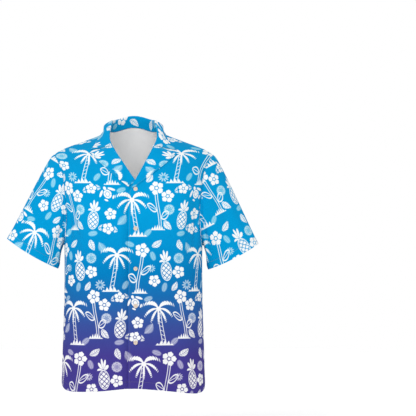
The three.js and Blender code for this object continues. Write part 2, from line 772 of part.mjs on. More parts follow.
const evenShares = (start, end) => {
  const list = [];
  for (let i = 0; i <= FRONT_COLUMNS; i += 1) list.push(mix(start, end, i / FRONT_COLUMNS));
  return list;
};
const backShares = (rise) => {
  const half = [];
  for (let i = 1; i <= BACK_NECK_COLUMNS; i += 1)
    half.push(NECK_SHARE * Math.sin(((i / BACK_NECK_COLUMNS) * Math.PI) / 2));
  for (let i = 1; i <= BACK_SIDE_COLUMNS; i += 1)
    half.push(mix(NECK_SHARE, outerShare("back", rise), i / BACK_SIDE_COLUMNS));
  return [...half.map((share) => -share).reverse(), 0, ...half];
};
const leftFront = bodyPiece(
  SURFACES.leftFront,
  (rise) =>
    evenShares(
      innerShare(SURFACES.leftFront, LEFT_FRONT_EDGE, rise),
      outerShare("front", rise),
    ),
  () => 2,
);
const rightFront = bodyPiece(
  SURFACES.rightFront,
  (rise) =>
    evenShares(
      -outerShare("front", rise),
      innerShare(SURFACES.rightFront, RIGHT_FRONT_EDGE, rise),
    ),
  () => 2,
);
const back = bodyPiece(SURFACES.back, backShares, backTop);
addCloth("front_left", wall(leftFront.outer, leftFront.inner), BLUE);
addCloth("front_right", wall(rightFront.outer, rightFront.inner), BLUE);
addCloth("back", wall(back.outer, back.inner), BLUE);

const leftSleeve = sleevePiece(1, leftFront, back, CUFF_LEFT);
const rightSleeve = sleevePiece(-1, rightFront, back, CUFF_RIGHT);
addCloth("sleeve_left", wall(leftSleeve.outer, leftSleeve.inner, true), CYAN);
addCloth("sleeve_right", wall(rightSleeve.outer, rightSleeve.inner, true), CYAN);

addCloth("collar", turnedLeaf(collarLines()), CYAN);
for (const [name, surface, edge, rows] of [
  ["lapel_left", SURFACES.leftFront, LEFT_FRONT_EDGE, LAPEL_LEFT],
  ["lapel_right", SURFACES.rightFront, RIGHT_FRONT_EDGE, LAPEL_RIGHT],
]) {
  const fromZ = rows[0].foldZ;
  const toZ = rows[rows.length - 1].foldZ;
  addCloth(name, turnedLeaf(frontLines(surface, edge, rows, LAPEL_STEPS, fromZ, toZ)), CYAN);
}

const button = await buttonGeometry();
BUTTON_LEVELS.forEach((z, k) => {
  const place = placeOf(SURFACES.leftFront, BUTTON_X, z);
  const normal = normalOf(SURFACES.leftFront, place.share, place.rise);
  const material = new THREE.MeshStandardMaterial({ color: TAN, roughness: 0.4, metalness: 0 });
  const mesh = new THREE.Mesh(button, material);
  mesh.name = "button_" + (k + 1);
  mesh.position
    .copy(SURFACES.leftFront(place.share, place.rise))
    .addScaledVector(normal, SEAM_GAP + 0.1);
  mesh.quaternion.setFromUnitVectors(new THREE.Vector3(0, 0, 1), normal);
  group.add(mesh);
});

export default group;
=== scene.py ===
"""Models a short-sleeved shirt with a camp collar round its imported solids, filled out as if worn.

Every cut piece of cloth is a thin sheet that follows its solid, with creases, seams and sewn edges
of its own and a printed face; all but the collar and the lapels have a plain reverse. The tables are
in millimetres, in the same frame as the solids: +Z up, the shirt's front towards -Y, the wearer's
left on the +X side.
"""

import math

import bmesh
import bpy
import numpy as np
from mathutils import Matrix, Vector


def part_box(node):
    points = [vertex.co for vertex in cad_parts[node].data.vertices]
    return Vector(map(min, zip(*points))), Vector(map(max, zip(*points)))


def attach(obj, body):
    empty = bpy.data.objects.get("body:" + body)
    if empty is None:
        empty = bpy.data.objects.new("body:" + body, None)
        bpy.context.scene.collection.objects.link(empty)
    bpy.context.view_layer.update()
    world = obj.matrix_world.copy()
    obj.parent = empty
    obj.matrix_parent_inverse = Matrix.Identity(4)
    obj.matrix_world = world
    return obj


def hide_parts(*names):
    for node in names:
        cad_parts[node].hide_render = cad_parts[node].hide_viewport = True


bl_info = {
    "name": "Filled-out Shirt",
    "version": (1, 0, 0),
    "blender": (4, 5, 0),
    "location": "3D View > Sidebar > Shirt",
    "description": "Builds a printed short-sleeved shirt with a camp collar",
    "category": "Mesh",
}

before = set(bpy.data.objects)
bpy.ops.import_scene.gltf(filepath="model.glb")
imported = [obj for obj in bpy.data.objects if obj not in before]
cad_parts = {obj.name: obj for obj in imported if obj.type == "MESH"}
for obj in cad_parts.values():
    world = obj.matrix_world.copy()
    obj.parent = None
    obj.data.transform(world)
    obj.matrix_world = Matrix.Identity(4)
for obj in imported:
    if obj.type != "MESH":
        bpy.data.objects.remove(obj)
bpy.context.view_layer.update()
MM = 0.001


def table(columns, *rows):
    """Rows whose columns are named by the words of the first line."""
    names = columns.split()
    return [dict(zip(names, row)) for row in rows]


# The cloth and how the pieces meet, as in the solids
CLOTH = 1.5
SEAM_GAP = 0.3
NECK_GAP = 0.6
LEAF_GAP = 1

# The body: hem, the level above which it bends in to the shoulders, and its rounded cross-section
HEM_LEVEL = -727
UNDERARM_LEVEL = -325
BEND_LEVEL = -150
ROUNDNESS = 2.6
SECTION_DEPTH = 0.64
BODY_SECTIONS = table(
    "level half_width front back",
    (-727, 201, 127, 118),
    (-600, 197.5, 127, 117),
    (-468, 193.5, 128, 116),
    (-325, 193, 131, 118),
    (-240, 198, 132, 120),
    (-150, 206, 128, 119),
)
HEM = table(
    "share front back",
    (-1.12, -710, -712),
    (-1, -700, -700),
    (-0.88, -710, -712),
    (-0.7, -723, -724),
    (-0.35, -722, -728),
    (0, -714, -730),
    (0.35, -721, -728),
    (0.7, -730, -725),
    (0.88, -720, -715),
    (1, -704, -704),
    (1.12, -720, -715),
)

# The shoulder seam from the neck to its tip, seen from the front
SHOULDER_SEAM = table(
    "x z",
    (68, 2),
    (99, -13),
    (141, -29),
    (192, -48),
    (223, -64),
)
SHOULDER_FORWARD = 6

# How far the cloth reaches out on its way over the shoulder, and how far it drops, beside the
# shoulder's tip and beside the neck, and the upward part of the way out that normals take
SHOULDER_REACH = 0.52
SHOULDER_DROP = 0.12
NECK_DROP = 0.35
OUTWARD_RISE = 90

# The neck, as if each face went on over its hole
NECK_HALF_WIDTH = 68
NECK_BACK = 62
NECK_RISE = 16
NECK_PEAK = {"front": 0, "back": 32}
NECK_SHARE = 0.27

# The armhole
ARMHOLE_LEVEL = -190
ARMHOLE_REACH = {"front": 60, "back": 62}
SIDE_TRIM = 0.0006
TOP_TRIM = 0.002

# Inner edges of the two fronts: the placket edge, then the fold of the lapel
LEFT_FRONT_EDGE = table(
    "z x",
    (-170, -12),
    (-143, 8),
    (-94, 35),
    (-45, 60),
    (-26, 68),
    (-8, 69),
    (2, 68),
)
RIGHT_FRONT_EDGE = table(
    "z x",
    (-170, 26),
    (-143, 8),
    (-94, -26),
    (-45, -58),
    (-26, -66),
    (-8, -68),
    (2, -68),
)

# The right front lies lower where the left one laps over it: how deep, from where and over what width
OVERLAP_DIP = 5
OVERLAP_EDGE = -34
OVERLAP_WAY = 20

# Lines across the collar and the lapels: where the fold is, the stand's height, how far it leans
# into the neck, the width of the roll and where the leaf's edge lies
COLLAR_BACK = table(
    "turn stand lean roll edge_x edge_z",
    (0, 33, 2, 7, 0, -25),
    (0.35, 33, 2.5, 7, 40, -26),
    (0.7, 31, 5, 6, 74, -23),
    (1, 26, 8, 5, 88, -8),
)
COLLAR_LEFT = table(
    "fold_z stand lean roll edge_x edge_z",
    (2, 26, 8, 5, 88, -8),
    (-14, 14, 3, 4.5, 97, -28),
    (-30, 5, 1, 3, 108, -43),
    (-43, 2.5, 0.8, 1.4, 122, -56),
)
COLLAR_RIGHT = table(
    "fold_z stand lean roll edge_x edge_z",
    (2, 26, 8, 5, -88, -8),
    (-14, 14, 3, 4.5, -98, -26),
    (-30, 5, 1, 3, -106, -41),
    (-43, 2.5, 0.8, 1.4, -116, -55),
)
LAPEL_LEFT = table(
    "fold_z stand lean roll edge_x edge_z",
    (-43.8, 2.5, 0.8, 1.4, 123, -66),
    (-90, 2.5, 0.8, 1.4, 84, -99),
    (-135, 2.5, 0.8, 1.4, 36, -136),
    (-160, 2.5, 0.8, 1.4, 6, -157),
)
LAPEL_RIGHT = table(
    "fold_z stand lean roll edge_x edge_z",
    (-43.8, 2.5, 0.8, 1.4, -119, -65),
    (-80, 2.5, 0.8, 1.4, -88, -92),
    (-115, 2.5, 0.8, 1.4, -48, -128),
    (-143, 2.5, 0.8, 1.4, -12, -156),
)

# A leaf's stand rises out of the cloth below LYING_LEVEL and straight up at the shoulder seam. Up
# the stand: shares of its height and of its lean. Over the roll: a share of the height, one of the
# roll's width, and how far off it. Along the leaf: shares of the way to the edge and of the stand's
# height. Then half the leaf's thickness, what its hem adds, how its stitches and its edge are drawn
# in, the share of the columns that go to the stand and the roll, and how far up no hem is sewn
LYING_LEVEL = -34
STAND_STEPS = [(0.4, 0.6), (0.85, 1)]
ROLL_STEPS = [(1, 0.35, 0.3), (0.97, 1, 0.8)]
LYING_STEPS = [(0.3, 0.72), (0.55, 0.34), (0.8, 0.08), (1, 0)]
LEAF_HALF = 0.62
LEAF_HEM_HALF = 0.22
LEAF_STITCHES = (0.28, 1.1)
LEAF_EDGE = (0.3, 0.8)
ROLL_COLUMNS = 0.55
STAND_UNSEWN = 20

# The cuffs and how a sleeve leaves the armhole
CUFFS = {
    "left": {"side": 1, "outer": (350, -316), "inner": (209, -388), "half_depth": 38},
    "right": {"side": -1, "outer": (-354, -301), "inner": (-211, -385), "half_depth": 38},
}
CUFF_SAG = 5
CUFF_PULL = 0.9
SLEEVE_PULL = {"top": 80, "elsewhere": 110, "bulge": 0.25}
SHOULDER_WAY = {"x": 0.87, "z": -0.49, "strength": 1.6}

# The largest folds, which the solids have too: a trough (depth below zero) or a ridge
BODY_FOLDS = {
    "front": table(
        "x z long lean width depth",
        (-166, -250, 130, 0.1, 16, -9),
        (166, -255, 130, -0.1, 16, -9),
        (-128, -330, 150, -0.28, 24, 4),
        (132, -350, 150, 0.25, 24, 4),
        (-86, -640, 150, 0.08, 26, -5),
        (96, -650, 140, -0.06, 28, -5),
        (150, -640, 150, 0.05, 20, 5),
        (-146, -620, 170, -0.04, 22, 5),
    ),
    "back": table(
        "x z long lean width depth",
        (-160, -245, 130, 0.12, 16, -10),
        (160, -250, 130, -0.12, 16, -10),
        (-60, -420, 260, -0.05, 30, -5),
        (64, -440, 260, 0.05, 30, -5),
        (0, -600, 200, 0, 34, 5),
        (-130, -640, 150, 0.05, 24, 5),
        (130, -630, 150, -0.05, 24, 5),
    ),
}

# Creases of the cloth alone
CREASES = {
    "front": table(
        "x z long lean width depth",
        (-150, -290, 60, 0.9, 7, -1.6),
        (-138, -315, 70, 0.7, 7, 1.4),
        (150, -292, 62, -0.9, 7, -1.6),
        (138, -320, 70, -0.7, 7, 1.4),
        (-100, -470, 110, 0.3, 11, -1.4),
        (118, -500, 120, -0.25, 11, -1.4),
        (-40, -600, 100, 0.15, 12, -1.3),
        (52, -580, 110, -0.12, 12, -1.2),
        (118, -100, 50, -0.9, 9, -1.4),
        (-122, -96, 50, 0.9, 9, -1.4),
        (170, -690, 70, -0.1, 8, -3),
        (-172, -690, 60, 0.1, 8, -2.4),
        (120, -700, 50, 0.1, 9, 2),
        (-112, -700, 50, -0.1, 9, 1.6),
        (-176, -265, 110, 0.05, 9, -7),
        (176, -265, 110, -0.05, 9, -7),
    ),
    "back": table(
        "x z long lean width depth",
        (-176, -260, 100, 0.05, 7, -4),
        (176, -265, 100, -0.05, 7, -4),
        (-140, -300, 70, 0.9, 7, -1.6),
        (140, -300, 70, -0.9, 7, -1.6),
        (-110, -500, 120, 0.25, 10, -1.5),
        (112, -520, 120, -0.25, 10, -1.5),
        (-20, -300, 140, 0.05, 14, -1.6),
        (24, -330, 140, -0.05, 14, 1.4),
        (-60, -700, 50, 0.1, 10, 1.8),
        (66, -700, 50, -0.1, 10, 1.8),
    ),
}

# Sleeve creases: where round the sleeve (0 top, 0.25 front, 0.5 underarm, 0.75 back), where along
# it, and how deep. The first five are in the solids too.
SLEEVE_FOLDS = table(
    "around along long width depth",
    (0.17, 0.5, 0.6, 0.035, -6),
    (0.3, 0.35, 0.5, 0.03, 4),
    (0.38, 0.3, 0.5, 0.035, -6),
    (0.66, 0.35, 0.5, 0.035, -6),
    (0.82, 0.5, 0.6, 0.035, -6),
    (0.24, 0.8, 0.3, 0.02, -1.6),
    (0.09, 0.75, 0.35, 0.02, -1.5),
    (0.44, 0.6, 0.4, 0.02, 1.6),
    (0.73, 0.75, 0.35, 0.02, -1.6),
)

# How finely the sheets are divided
FRONT_COLUMNS = 90
BACK_NECK_COLUMNS = 26
BACK_SIDE_COLUMNS = 62
ROWS_BELOW_UNDERARM = 96
ROWS_AT_ARMHOLE = 54
ROWS_ABOVE_BEND = 52
ARMHOLE_SAMPLES = 400
SLEEVE_HALF_LOOP = 84
SLEEVE_ROWS = 66
COLLAR_FRONT_LINES = 40
COLLAR_BACK_LINES = 100
LAPEL_LINES = 60
LEAF_COLUMNS = 46

# Edges sharper than these angles, in degrees, stay sharp
CLOTH_SMOOTHING = 50
BUTTON_SMOOTHING = 35

# Where the cloth is shaded from its shoulder colour to its hem colour: levels of the stops
GROUND_STOPS = [
    (-60, "shoulder"),
    (-230, "chest"),
    (-320, "ribs"),
    (-400, "waist"),
    (-460, "belly"),
    (-540, "hip"),
    (-625, "hem"),
]

# The level whose colour the sleeves, the collar and the lapels have all over
PLAIN_LEVEL = -150

# How the pieces are sewn: how deep and wide a seam draws the cloth in, on the body and on a sleeve,
# the puckers round a sleeve's head, a hem's second layer, how far it stands out and how its edge
# and its stitches are drawn in, the length round a sleeve, and a distance that shows no stitches
BODY_SEAM = (2.2, 6)
SLEEVE_SEAM = (2.2, 8)
SHOULDER_SEAM_SINK = (1, 4)
UNDERARM_SEAM = (1, 4)
PUCKERS = 46
PUCKER_HEIGHT = 0.25
PUCKER_PLACE = 8
PUCKER_WIDTH = 7
HEM_LAYER = 0.9
HEM_RISE = 0.35
HEM_EDGE = (0.5, 1.5)
HEM_STITCHES = (0.5, 1.6)
SLEEVE_ROUND = 400
FAR_FROM_STITCHES = 500.0

# The print: the level whose girth it is laid out by, where it starts on the back and the sleeves,
# the repeat's width and height as it is drawn, how far a motif may reach past its half sizes, the
# shift of each row of repeats as a share of the width, and a place that no motif reaches
BODY_PRINT_LEVEL = -400.0
BACK_PRINT = (61, 75)
SLEEVE_PRINT = {"left": (-20, 40), "right": (75, 190)}
REPEAT_DRAWN_IN = (243, 300)
MOTIF_REACH = 1.3
ROW_SHIFT = 0.3
FAR_AWAY = (9, 9, 0)

# The rest is in metres: the sewing thread and the weave
STITCH_WIDTH = 0.0007
WEAVE_PITCH = 0.0007

# The buttons: how much of the thickness its edges are rounded by, and the steps of its dish, each a
# share of the radius and one of the thickness
BUTTON_COUNT = 5
BUTTON_THICKNESS = 0.0021
BUTTON_ROUNDING = 0.3
BUTTON_DISH = [(0.16, 0), (0.09, 0.16), (0.12, 0.06)]
HOLE_APART = 0.0011
HOLE_RADIUS = 0.00042
THREAD_RADIUS = 0.00016

# How much of a screen colour the cloth has of its own, and how a screen shows it
LIGHT_SHARE = 0.7
SCREEN_GAMMA = 2.2

# How deep each material's relief is
CLOTH_RELIEF = 0.00016
BUTTON_RELIEF = 0.00004
THREAD_RELIEF = 0.0001
FLOOR_RELIEF = 0.0002

# The stage: lamps with their places, sizes and powers, the point they aim at, the floor, and the
# camera with its sensor in millimetres and the width that it shows
WORLD_LIGHT = 1.0
LAMPS = [
    ("Key light", (-1.6, -3.2, 1.9), 2.2, 56),
    ("Fill light", (0.5, -4.0, 0.4), 1.6, 26),
]
LAMPS_AIM = Vector((0, 0, -0.3))
FLOOR_RADIUS = 5
FLOOR_LEVEL = -0.85
FLOOR_THICKNESS = 0.02
CAMERA_PLACE = (0.2086, -8, -0.2156)
CAMERA_SENSOR = 36
CAMERA_SPAN = 1.165


def colour(red, green, blue):
    """A linear colour from its 0-255 screen values."""
    channels = [c / 255 for c in (red, green, blue)]
    return tuple(c / 12.92 if c <= 0.04045 else ((c + 0.055) / 1.055) ** 2.4 for c in channels)


def colour_setting(name, description, red, green, blue):
    return bpy.props.FloatVectorProperty(
        name=name,
        description=description,
        default=colour(red, green, blue),
        size=3,
        min=0,
        max=1,
        subtype="COLOR",
    )


def size_setting(name, description, default, least, most):
    return bpy.props.FloatProperty(
        name=name,
        description=description,
        default=default,
        min=least,
        max=most,
        unit="LENGTH",
    )


class ShirtColours(bpy.types.PropertyGroup):
    """Colours of the cloth, its print and its buttons"""

    shoulder: colour_setting("Shoulder", "Ground colour at the shoulders", 1, 154, 213)
    chest: colour_setting("Chest", "Ground colour at the chest", 1, 159, 220)
    ribs: colour_setting("Ribs", "Ground colour below the armholes", 2, 148, 211)
    waist: colour_setting("Waist", "Ground colour above the waist", 2, 127, 193)
    belly: colour_setting("Belly", "Ground colour at the waist", 26, 110, 180)
    hip: colour_setting("Hip", "Ground colour at the hip", 59, 82, 158)
    hem: colour_setting("Hem", "Ground colour at the hem", 71, 62, 146)
    print_white: colour_setting("Print", "Colour of the print", 255, 255, 255)
    reverse: colour_setting("Reverse", "Colour of the cloth's unprinted side", 250, 250, 250)
    button: colour_setting("Button", "Colour of the buttons", 238, 216, 196)
    thread: colour_setting("Thread", "Colour of the button thread", 236, 226, 212)


class ShirtSizes(bpy.types.PropertyGroup):
    """Sizes of the cloth's details"""

    thickness: size_setting("Thickness", "Thickness of one layer of cloth", 0.0009, 0.0003, 0.0015)
    hem_depth: size_setting("Hem", "Depth of the turned hems", 0.019, 0.005, 0.05)
    edge_stitch: size_setting(
        "Edge stitch", "From a faced edge to its row of stitches", 0.005, 0.002, 0.02
    )
    stitch_length: size_setting("Stitch", "Length of one stitch", 0.0028, 0.001, 0.01)
    repeat_width: size_setting("Repeat width", "Width of the print's repeat", 0.243, 0.1, 0.6)
    repeat_height: size_setting("Repeat height", "Height of the print's repeat", 0.3, 0.1, 0.6)


def colours():
    return bpy.context.scene.shirt_colours


def sizes():
    return bpy.context.scene.shirt_sizes


# Plain maths on arrays


def mix(a, b, t):
    return a + (b - a) * t


def smooth(t):
    t = np.clip(t, 0, 1)
    return t * t * (3 - 2 * t)


def unit(vectors):
    lengths = np.linalg.norm(vectors, axis=-1, keepdims=True)
    return vectors / np.maximum(lengths, 1e-9)


def look_up(rows, key, column, at):
    """Smooth values out of one column of a table, whose rows rise or fall in the key column."""
    keys = np.array([row[key] for row in rows], float)
    values = np.array([row[column] for row in rows], float)
    if keys[-1] < keys[0]:
        keys, values = keys[::-1], values[::-1]
    last = len(keys) - 1
    at = np.clip(at, keys[0], keys[last])
    i = np.clip(np.searchsorted(keys, at) - 1, 0, last - 1)
    before = np.maximum(np.arange(last + 1) - 1, 0)
    after = np.minimum(np.arange(last + 1) + 1, last)
    slopes = (values[after] - values[before]) / (keys[after] - keys[before])
    step = keys[i + 1] - keys[i]
    t = (at - keys[i]) / step
    bend = t * t * (3 - 2 * t)
    pull = t * (1 - t) ** 2 * slopes[i] - t * t * (1 - t) * slopes[i + 1]
    return mix(values[i], values[i + 1], bend) + step * pull


def halve(low, high, steps, is_low):
    """The place between low and high where is_low stops holding, for whole arrays at once."""
    for _ in range(steps):
        middle = (low + high) / 2
        held = is_low(middle)
        low = np.where(held, middle, low)
        high = np.where(held, high, middle)
    return (low + high) / 2


def facing(directions, wanted):
    """Turns round those directions that point away from the wanted ones."""
    away = np.sum(directions * wanted, axis=-1, keepdims=True) < 0
    return np.where(away, -directions, directions)


def run_lengths(points, axis):
    """Length walked along each line of a grid of points, from its first point."""
    steps = np.linalg.norm(np.diff(points, axis=axis), axis=-1)
    return np.insert(np.cumsum(steps, axis=axis), 0, 0, axis=axis)


def grid_normals(points, closed=False):
    """Normals of a grid of points. closed joins its last column to its first."""
    if closed:
        wide = np.concatenate([points[:, -1:], points, points[:, :1]], axis=1)
        across = (wide[:, 2:] - wide[:, :-2]) / 2
    else:
        across = np.gradient(points, axis=1)
    return unit(np.cross(across, np.gradient(points, axis=0)))


# The body's form


def quarter_table():
    """Angles round a rounded quarter section and the lengths walked to them."""
    angles = np.linspace(0, np.pi / 2, 241)
    x = np.sin(angles) ** (2 / ROUNDNESS)
    y = SECTION_DEPTH * np.maximum(np.cos(angles), 0) ** (2 / ROUNDNESS)
    lengths = np.insert(np.cumsum(np.hypot(np.diff(x), np.diff(y))), 0, 0)
    return angles, lengths


QUARTER_ANGLES, QUARTER_LENGTHS = quarter_table()


def ring_point(face, share, level):
    """Points of the level rings. share runs from the middle (0) to the side seam (1 or -1)."""
    wanted = np.clip(np.abs(share), 0, 1) * QUARTER_LENGTHS[-1]
    angle = np.interp(wanted, QUARTER_LENGTHS, QUARTER_ANGLES)
    half_width = look_up(BODY_SECTIONS, "level", "half_width", level)
    depth = look_up(BODY_SECTIONS, "level", face, level)
    x = np.sign(share) * half_width * np.sin(angle) ** (2 / ROUNDNESS)
    y = depth * np.maximum(np.cos(angle), 0) ** (2 / ROUNDNESS)
    return np.stack(np.broadcast_arrays(x, -y if face == "front" else y, level), axis=-1)


def armhole_share(face, level):
    drop = (ARMHOLE_LEVEL - level) / (ARMHOLE_LEVEL - UNDERARM_LEVEL)
    reach = ARMHOLE_REACH[face] * np.sqrt(np.clip(1 - drop * drop, 0, 1))
    reach = np.where(level > ARMHOLE_LEVEL, ARMHOLE_REACH[face], reach)
    start = np.full(np.shape(level), 0.5)
    return halve(start, start * 2, 40, lambda s: np.abs(ring_point(face, s, level)[..., 1]) > reach)


ARM_SHARE = {face: float(armhole_share(face, np.array(BEND_LEVEL))) for face in ("front", "back")}


def outer_share(face, rise):
    """The share of the side seam or the armhole at a rise."""
    level = mix(HEM_LEVEL, BEND_LEVEL, np.minimum(rise, 1))
    side = np.where(level <= UNDERARM_LEVEL, 1, armhole_share(face, level)) - SIDE_TRIM
    return np.where(rise > 1, ARM_SHARE[face], side)


def top_point(face, share):
    """The body's top edge: the uncut ridge over the neck, then the shoulder seam."""
    side, size = np.sign(share), np.abs(share)
    across = np.minimum(size / NECK_SHARE, 1)
    inward = 1 - across * across
    ridge = SHOULDER_SEAM[0]["z"] + NECK_RISE * inward + NECK_PEAK[face] * inward * inward
    t = np.clip((size - NECK_SHARE) / (ARM_SHARE[face] - NECK_SHARE), 0, 1)
    x = mix(NECK_HALF_WIDTH, SHOULDER_SEAM[-1]["x"], t)
    over_neck = size < NECK_SHARE
    return np.stack(
        [
            side * np.where(over_neck, NECK_HALF_WIDTH * across, x),
            np.where(over_neck, SHOULDER_FORWARD, mix(SHOULDER_FORWARD, 0, t)),
            np.where(over_neck, ridge, look_up(SHOULDER_SEAM, "x", "z", x)),
        ],
        axis=-1,
    )


def base_point(face, share, rise):
    """The body before its folds. rise runs from the hem (0) to the bend (1) to the top (2)."""
    share, rise = np.broadcast_arrays(np.asarray(share, float), np.asarray(rise, float))
    level = mix(look_up(HEM, "share", face, share), BEND_LEVEL, np.minimum(rise, 1))
    low = ring_point(face, share, level)
    high = top_point(face, share)
    out = -1 if face == "front" else 1
    reach = SHOULDER_REACH * np.abs(low[..., 1] - high[..., 1])
    neckness = smooth((NECK_SHARE * 1.5 - np.abs(share)) / (NECK_SHARE * 1.5))
    first = low.copy()
    first[..., 2] = mix(low[..., 2], high[..., 2], 0.5)
    second = high.copy()
    second[..., 1] += out * reach
    second[..., 2] -= reach * mix(SHOULDER_DROP, NECK_DROP, neckness)
    t = np.clip(rise - 1, 0, 1)[..., None]
    return (
        low * (1 - t) ** 3
        + first * (3 * t * (1 - t) ** 2)
        + second * (3 * t * t * (1 - t))
        + high * t**3
    )


def normal_of(surface, share, rise):
    step = 0.004
    share, rise = np.broadcast_arrays(np.asarray(share, float), np.asarray(rise, float))
    across = surface(share + step, rise) - surface(share - step, rise)
    up = surface(share, np.minimum(rise + step, 2)) - surface(share, np.maximum(rise - step, 0))
    outward = surface(share, rise)
    outward[..., 2] = OUTWARD_RISE
    return facing(unit(np.cross(across, up)), outward)


def fold_depth(folds, x, z):
    """How far the folds of one table lift the cloth off its form."""
    depth = np.zeros(np.shape(x))
    for fold in folds:
        along = np.clip((z - fold["z"]) / fold["long"], -1, 1)
        across = (x - fold["x"] - fold["lean"] * (fold["z"] - z)) / fold["width"]
        depth += fold["depth"] * np.cos(along * np.pi / 2) ** 2 * np.exp(-across * across)
    return depth


def body_surface(face, dips):
    def base(share, rise):
        return base_point(face, share, rise)

    def surface(share, rise):
        point = base(share, rise)
        move = fold_depth(BODY_FOLDS[face], point[..., 0], point[..., 2])
        if dips:
            lapped = smooth((point[..., 0] - OVERLAP_EDGE) / OVERLAP_WAY)
            move = move - OVERLAP_DIP * lapped
        return point + normal_of(base, share, rise) * move[..., None]

    return surface


LEFT_FRONT = body_surface("front", dips=False)
RIGHT_FRONT = body_surface("front", dips=True)
BACK = body_surface("back", dips=False)


def place_of(surface, x, z):
    """Shares and rises of the points seen at x, z from straight ahead."""

    def share_at(rise):
        low = np.full(np.shape(rise), -1.0)
        return halve(low, -low, 18, lambda share: surface(share, rise)[..., 0] < x)

    low = np.zeros(np.shape(x))
    rise = halve(low, low + 2, 18, lambda middle: surface(share_at(middle), middle)[..., 2] < z)
    return share_at(rise), rise


def back_top(share):
    """The rise at which the back is cut off: its neckline, or the shoulder seam beside it."""
    across = np.minimum(np.abs(share) / NECK_SHARE, 1)
    wanted = mix(SHOULDER_FORWARD, NECK_BACK, np.sqrt(1 - across * across))
    start = np.ones(np.shape(share))
    cut = halve(start, start + 1, 24, lambda rise: BACK(share, rise)[..., 1] > wanted)
    return np.where(across >= 1, 2, cut)


def inner_share(surface, edge, rise):
    """The share where a front's inner edge crosses each row."""

    def is_low(share):
        point = surface(share, rise)
        return point[..., 0] < look_up(edge, "z", "x", point[..., 2])

    start = np.full(np.shape(rise), -0.5)
    return halve(start, -start, 26, is_low)


# Sheets of cloth


class Sheet:
    """A grid of points on the face of a piece of cloth, with what its material reads."""

    def __init__(self, face, reverse, closed=False):
        self.face = face
        self.reverse = reverse
        self.closed = closed
        self.level = np.full(face.shape[:2], float(PLAIN_LEVEL))
        self.from_hem = np.full(face.shape[:2], FAR_FROM_STITCHES)
        self.from_edge = np.full(face.shape[:2], FAR_FROM_STITCHES)
        self.cloth = None

    def roll(self, columns):
        """Starts a closed sheet's columns elsewhere round it."""
        for name in ("face", "reverse", "level", "from_hem", "from_edge"):
            setattr(self, name, np.roll(getattr(self, name), columns, axis=1))

    def build(self, name, slot, faced=False):
        """Makes the mesh: the face, the reverse and the rim between them."""
        rows, columns = self.face.shape[:2]
        count = rows * columns
        points = np.concatenate([self.face.reshape(-1, 3), self.reverse.reshape(-1, 3)]) * MM
        index = np.arange(count).reshape(rows, columns)
        if self.closed:
            index = np.concatenate([index, index[:, :1]], axis=1)
        place = np.arange(index.size).reshape(index.shape)

        def quads(a, b, c, d):
            return np.stack([a, b, c, d], axis=-1).reshape(-1, 4)

        def ring(grid):
            return quads(grid[:-1, :-1], grid[:-1, 1:], grid[1:, 1:], grid[1:, :-1])

        def rim(one, other):
            return quads(one[:-1], other[:-1], other[1:], one[1:])

        faces = [ring(index), ring(index + count)[:, ::-1]]
        places = [ring(place), ring(place)[:, ::-1]]
        edges = [(index[0], place[0], False), (index[-1], place[-1], True)]
        if not self.closed:
            edges += [(index[:, 0], place[:, 0], True), (index[:, -1], place[:, -1], False)]
        for line, at, turned in edges:
            quad, spot = rim(line, line + count), rim(at, at)
            faces.append(quad[:, ::-1] if turned else quad)
            places.append(spot[:, ::-1] if turned else spot)
        sides = np.concatenate([np.full(len(f), k) for k, f in enumerate(faces)])
        faces, places = np.concatenate(faces), np.concatenate(places)

        first = self.face[rows // 2, columns // 2]
        across = self.face[rows // 2, columns // 2 + 1] - first
        up = self.face[rows // 2 + 1, columns // 2] - first
        out = first - self.reverse[rows // 2, columns // 2]
        if np.dot(np.cross(across, up), out) < 0:
            faces, places = faces[:, ::-1], places[:, ::-1]

        mesh = bpy.data.meshes.new(name)
        mesh.from_pydata(points.tolist(), [], faces.tolist())
        spots = self.cloth.reshape(-1, 2)[places.ravel()] * MM
        mesh.uv_layers.new(name="Cloth").data.foreach_set("uv", spots.astype(np.float32).ravel())
        self.keep(mesh, "level", "FLOAT", self.level)
        sewn = np.stack([self.from_hem, self.from_edge, np.zeros_like(self.level)], axis=-1)
        self.keep(mesh, "sewing", "FLOAT_VECTOR", sewn)
        mesh.materials.append(printed_cloth())
        if not faced:
            mesh.materials.append(reverse_cloth())
            mesh.polygons.foreach_set("material_index", (sides == 1).astype(np.int32))
        mesh.validate()
        piece = bpy.data.objects.new(name, mesh)
        bpy.context.collection.objects.link(piece)
        shade_smooth(piece, CLOTH_SMOOTHING)
        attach(piece, "root")
        return piece

    def keep(self, mesh, name, kind, values):
        doubled = np.concatenate([values.reshape(-1), values.reshape(-1)]) * MM
        field = "value" if kind == "FLOAT" else "vector"
        mesh.attributes.new(name, kind, "POINT").data.foreach_set(field, doubled.astype(np.float32))


def select_none():
    for other in bpy.context.selected_objects:
        other.select_set(False)


def select_only(piece):
    select_none()
    piece.select_set(True)
    bpy.context.view_layer.objects.active = piece


def shade_smooth(piece, degrees):
    select_only(piece)
    bpy.ops.object.shade_smooth_by_angle(angle=math.radians(degrees))
    piece.select_set(False)


def sunk(distance, depth, width):
    """How far a seam draws the cloth in at a distance from it."""
    return -depth * np.exp(-((distance / width) ** 2))


def hem_lift(distance, depth):
    """How a turned hem stands out, and how its row of stitches draws it in."""
    return HEM_RISE * smooth((depth + 1 - distance) / 2) + sunk(distance - depth, *HEM_STITCHES)


def hem_thickness(distance, depth):
    return sizes().thickness / MM * (1 + HEM_LAYER * smooth((depth - distance) / 2))


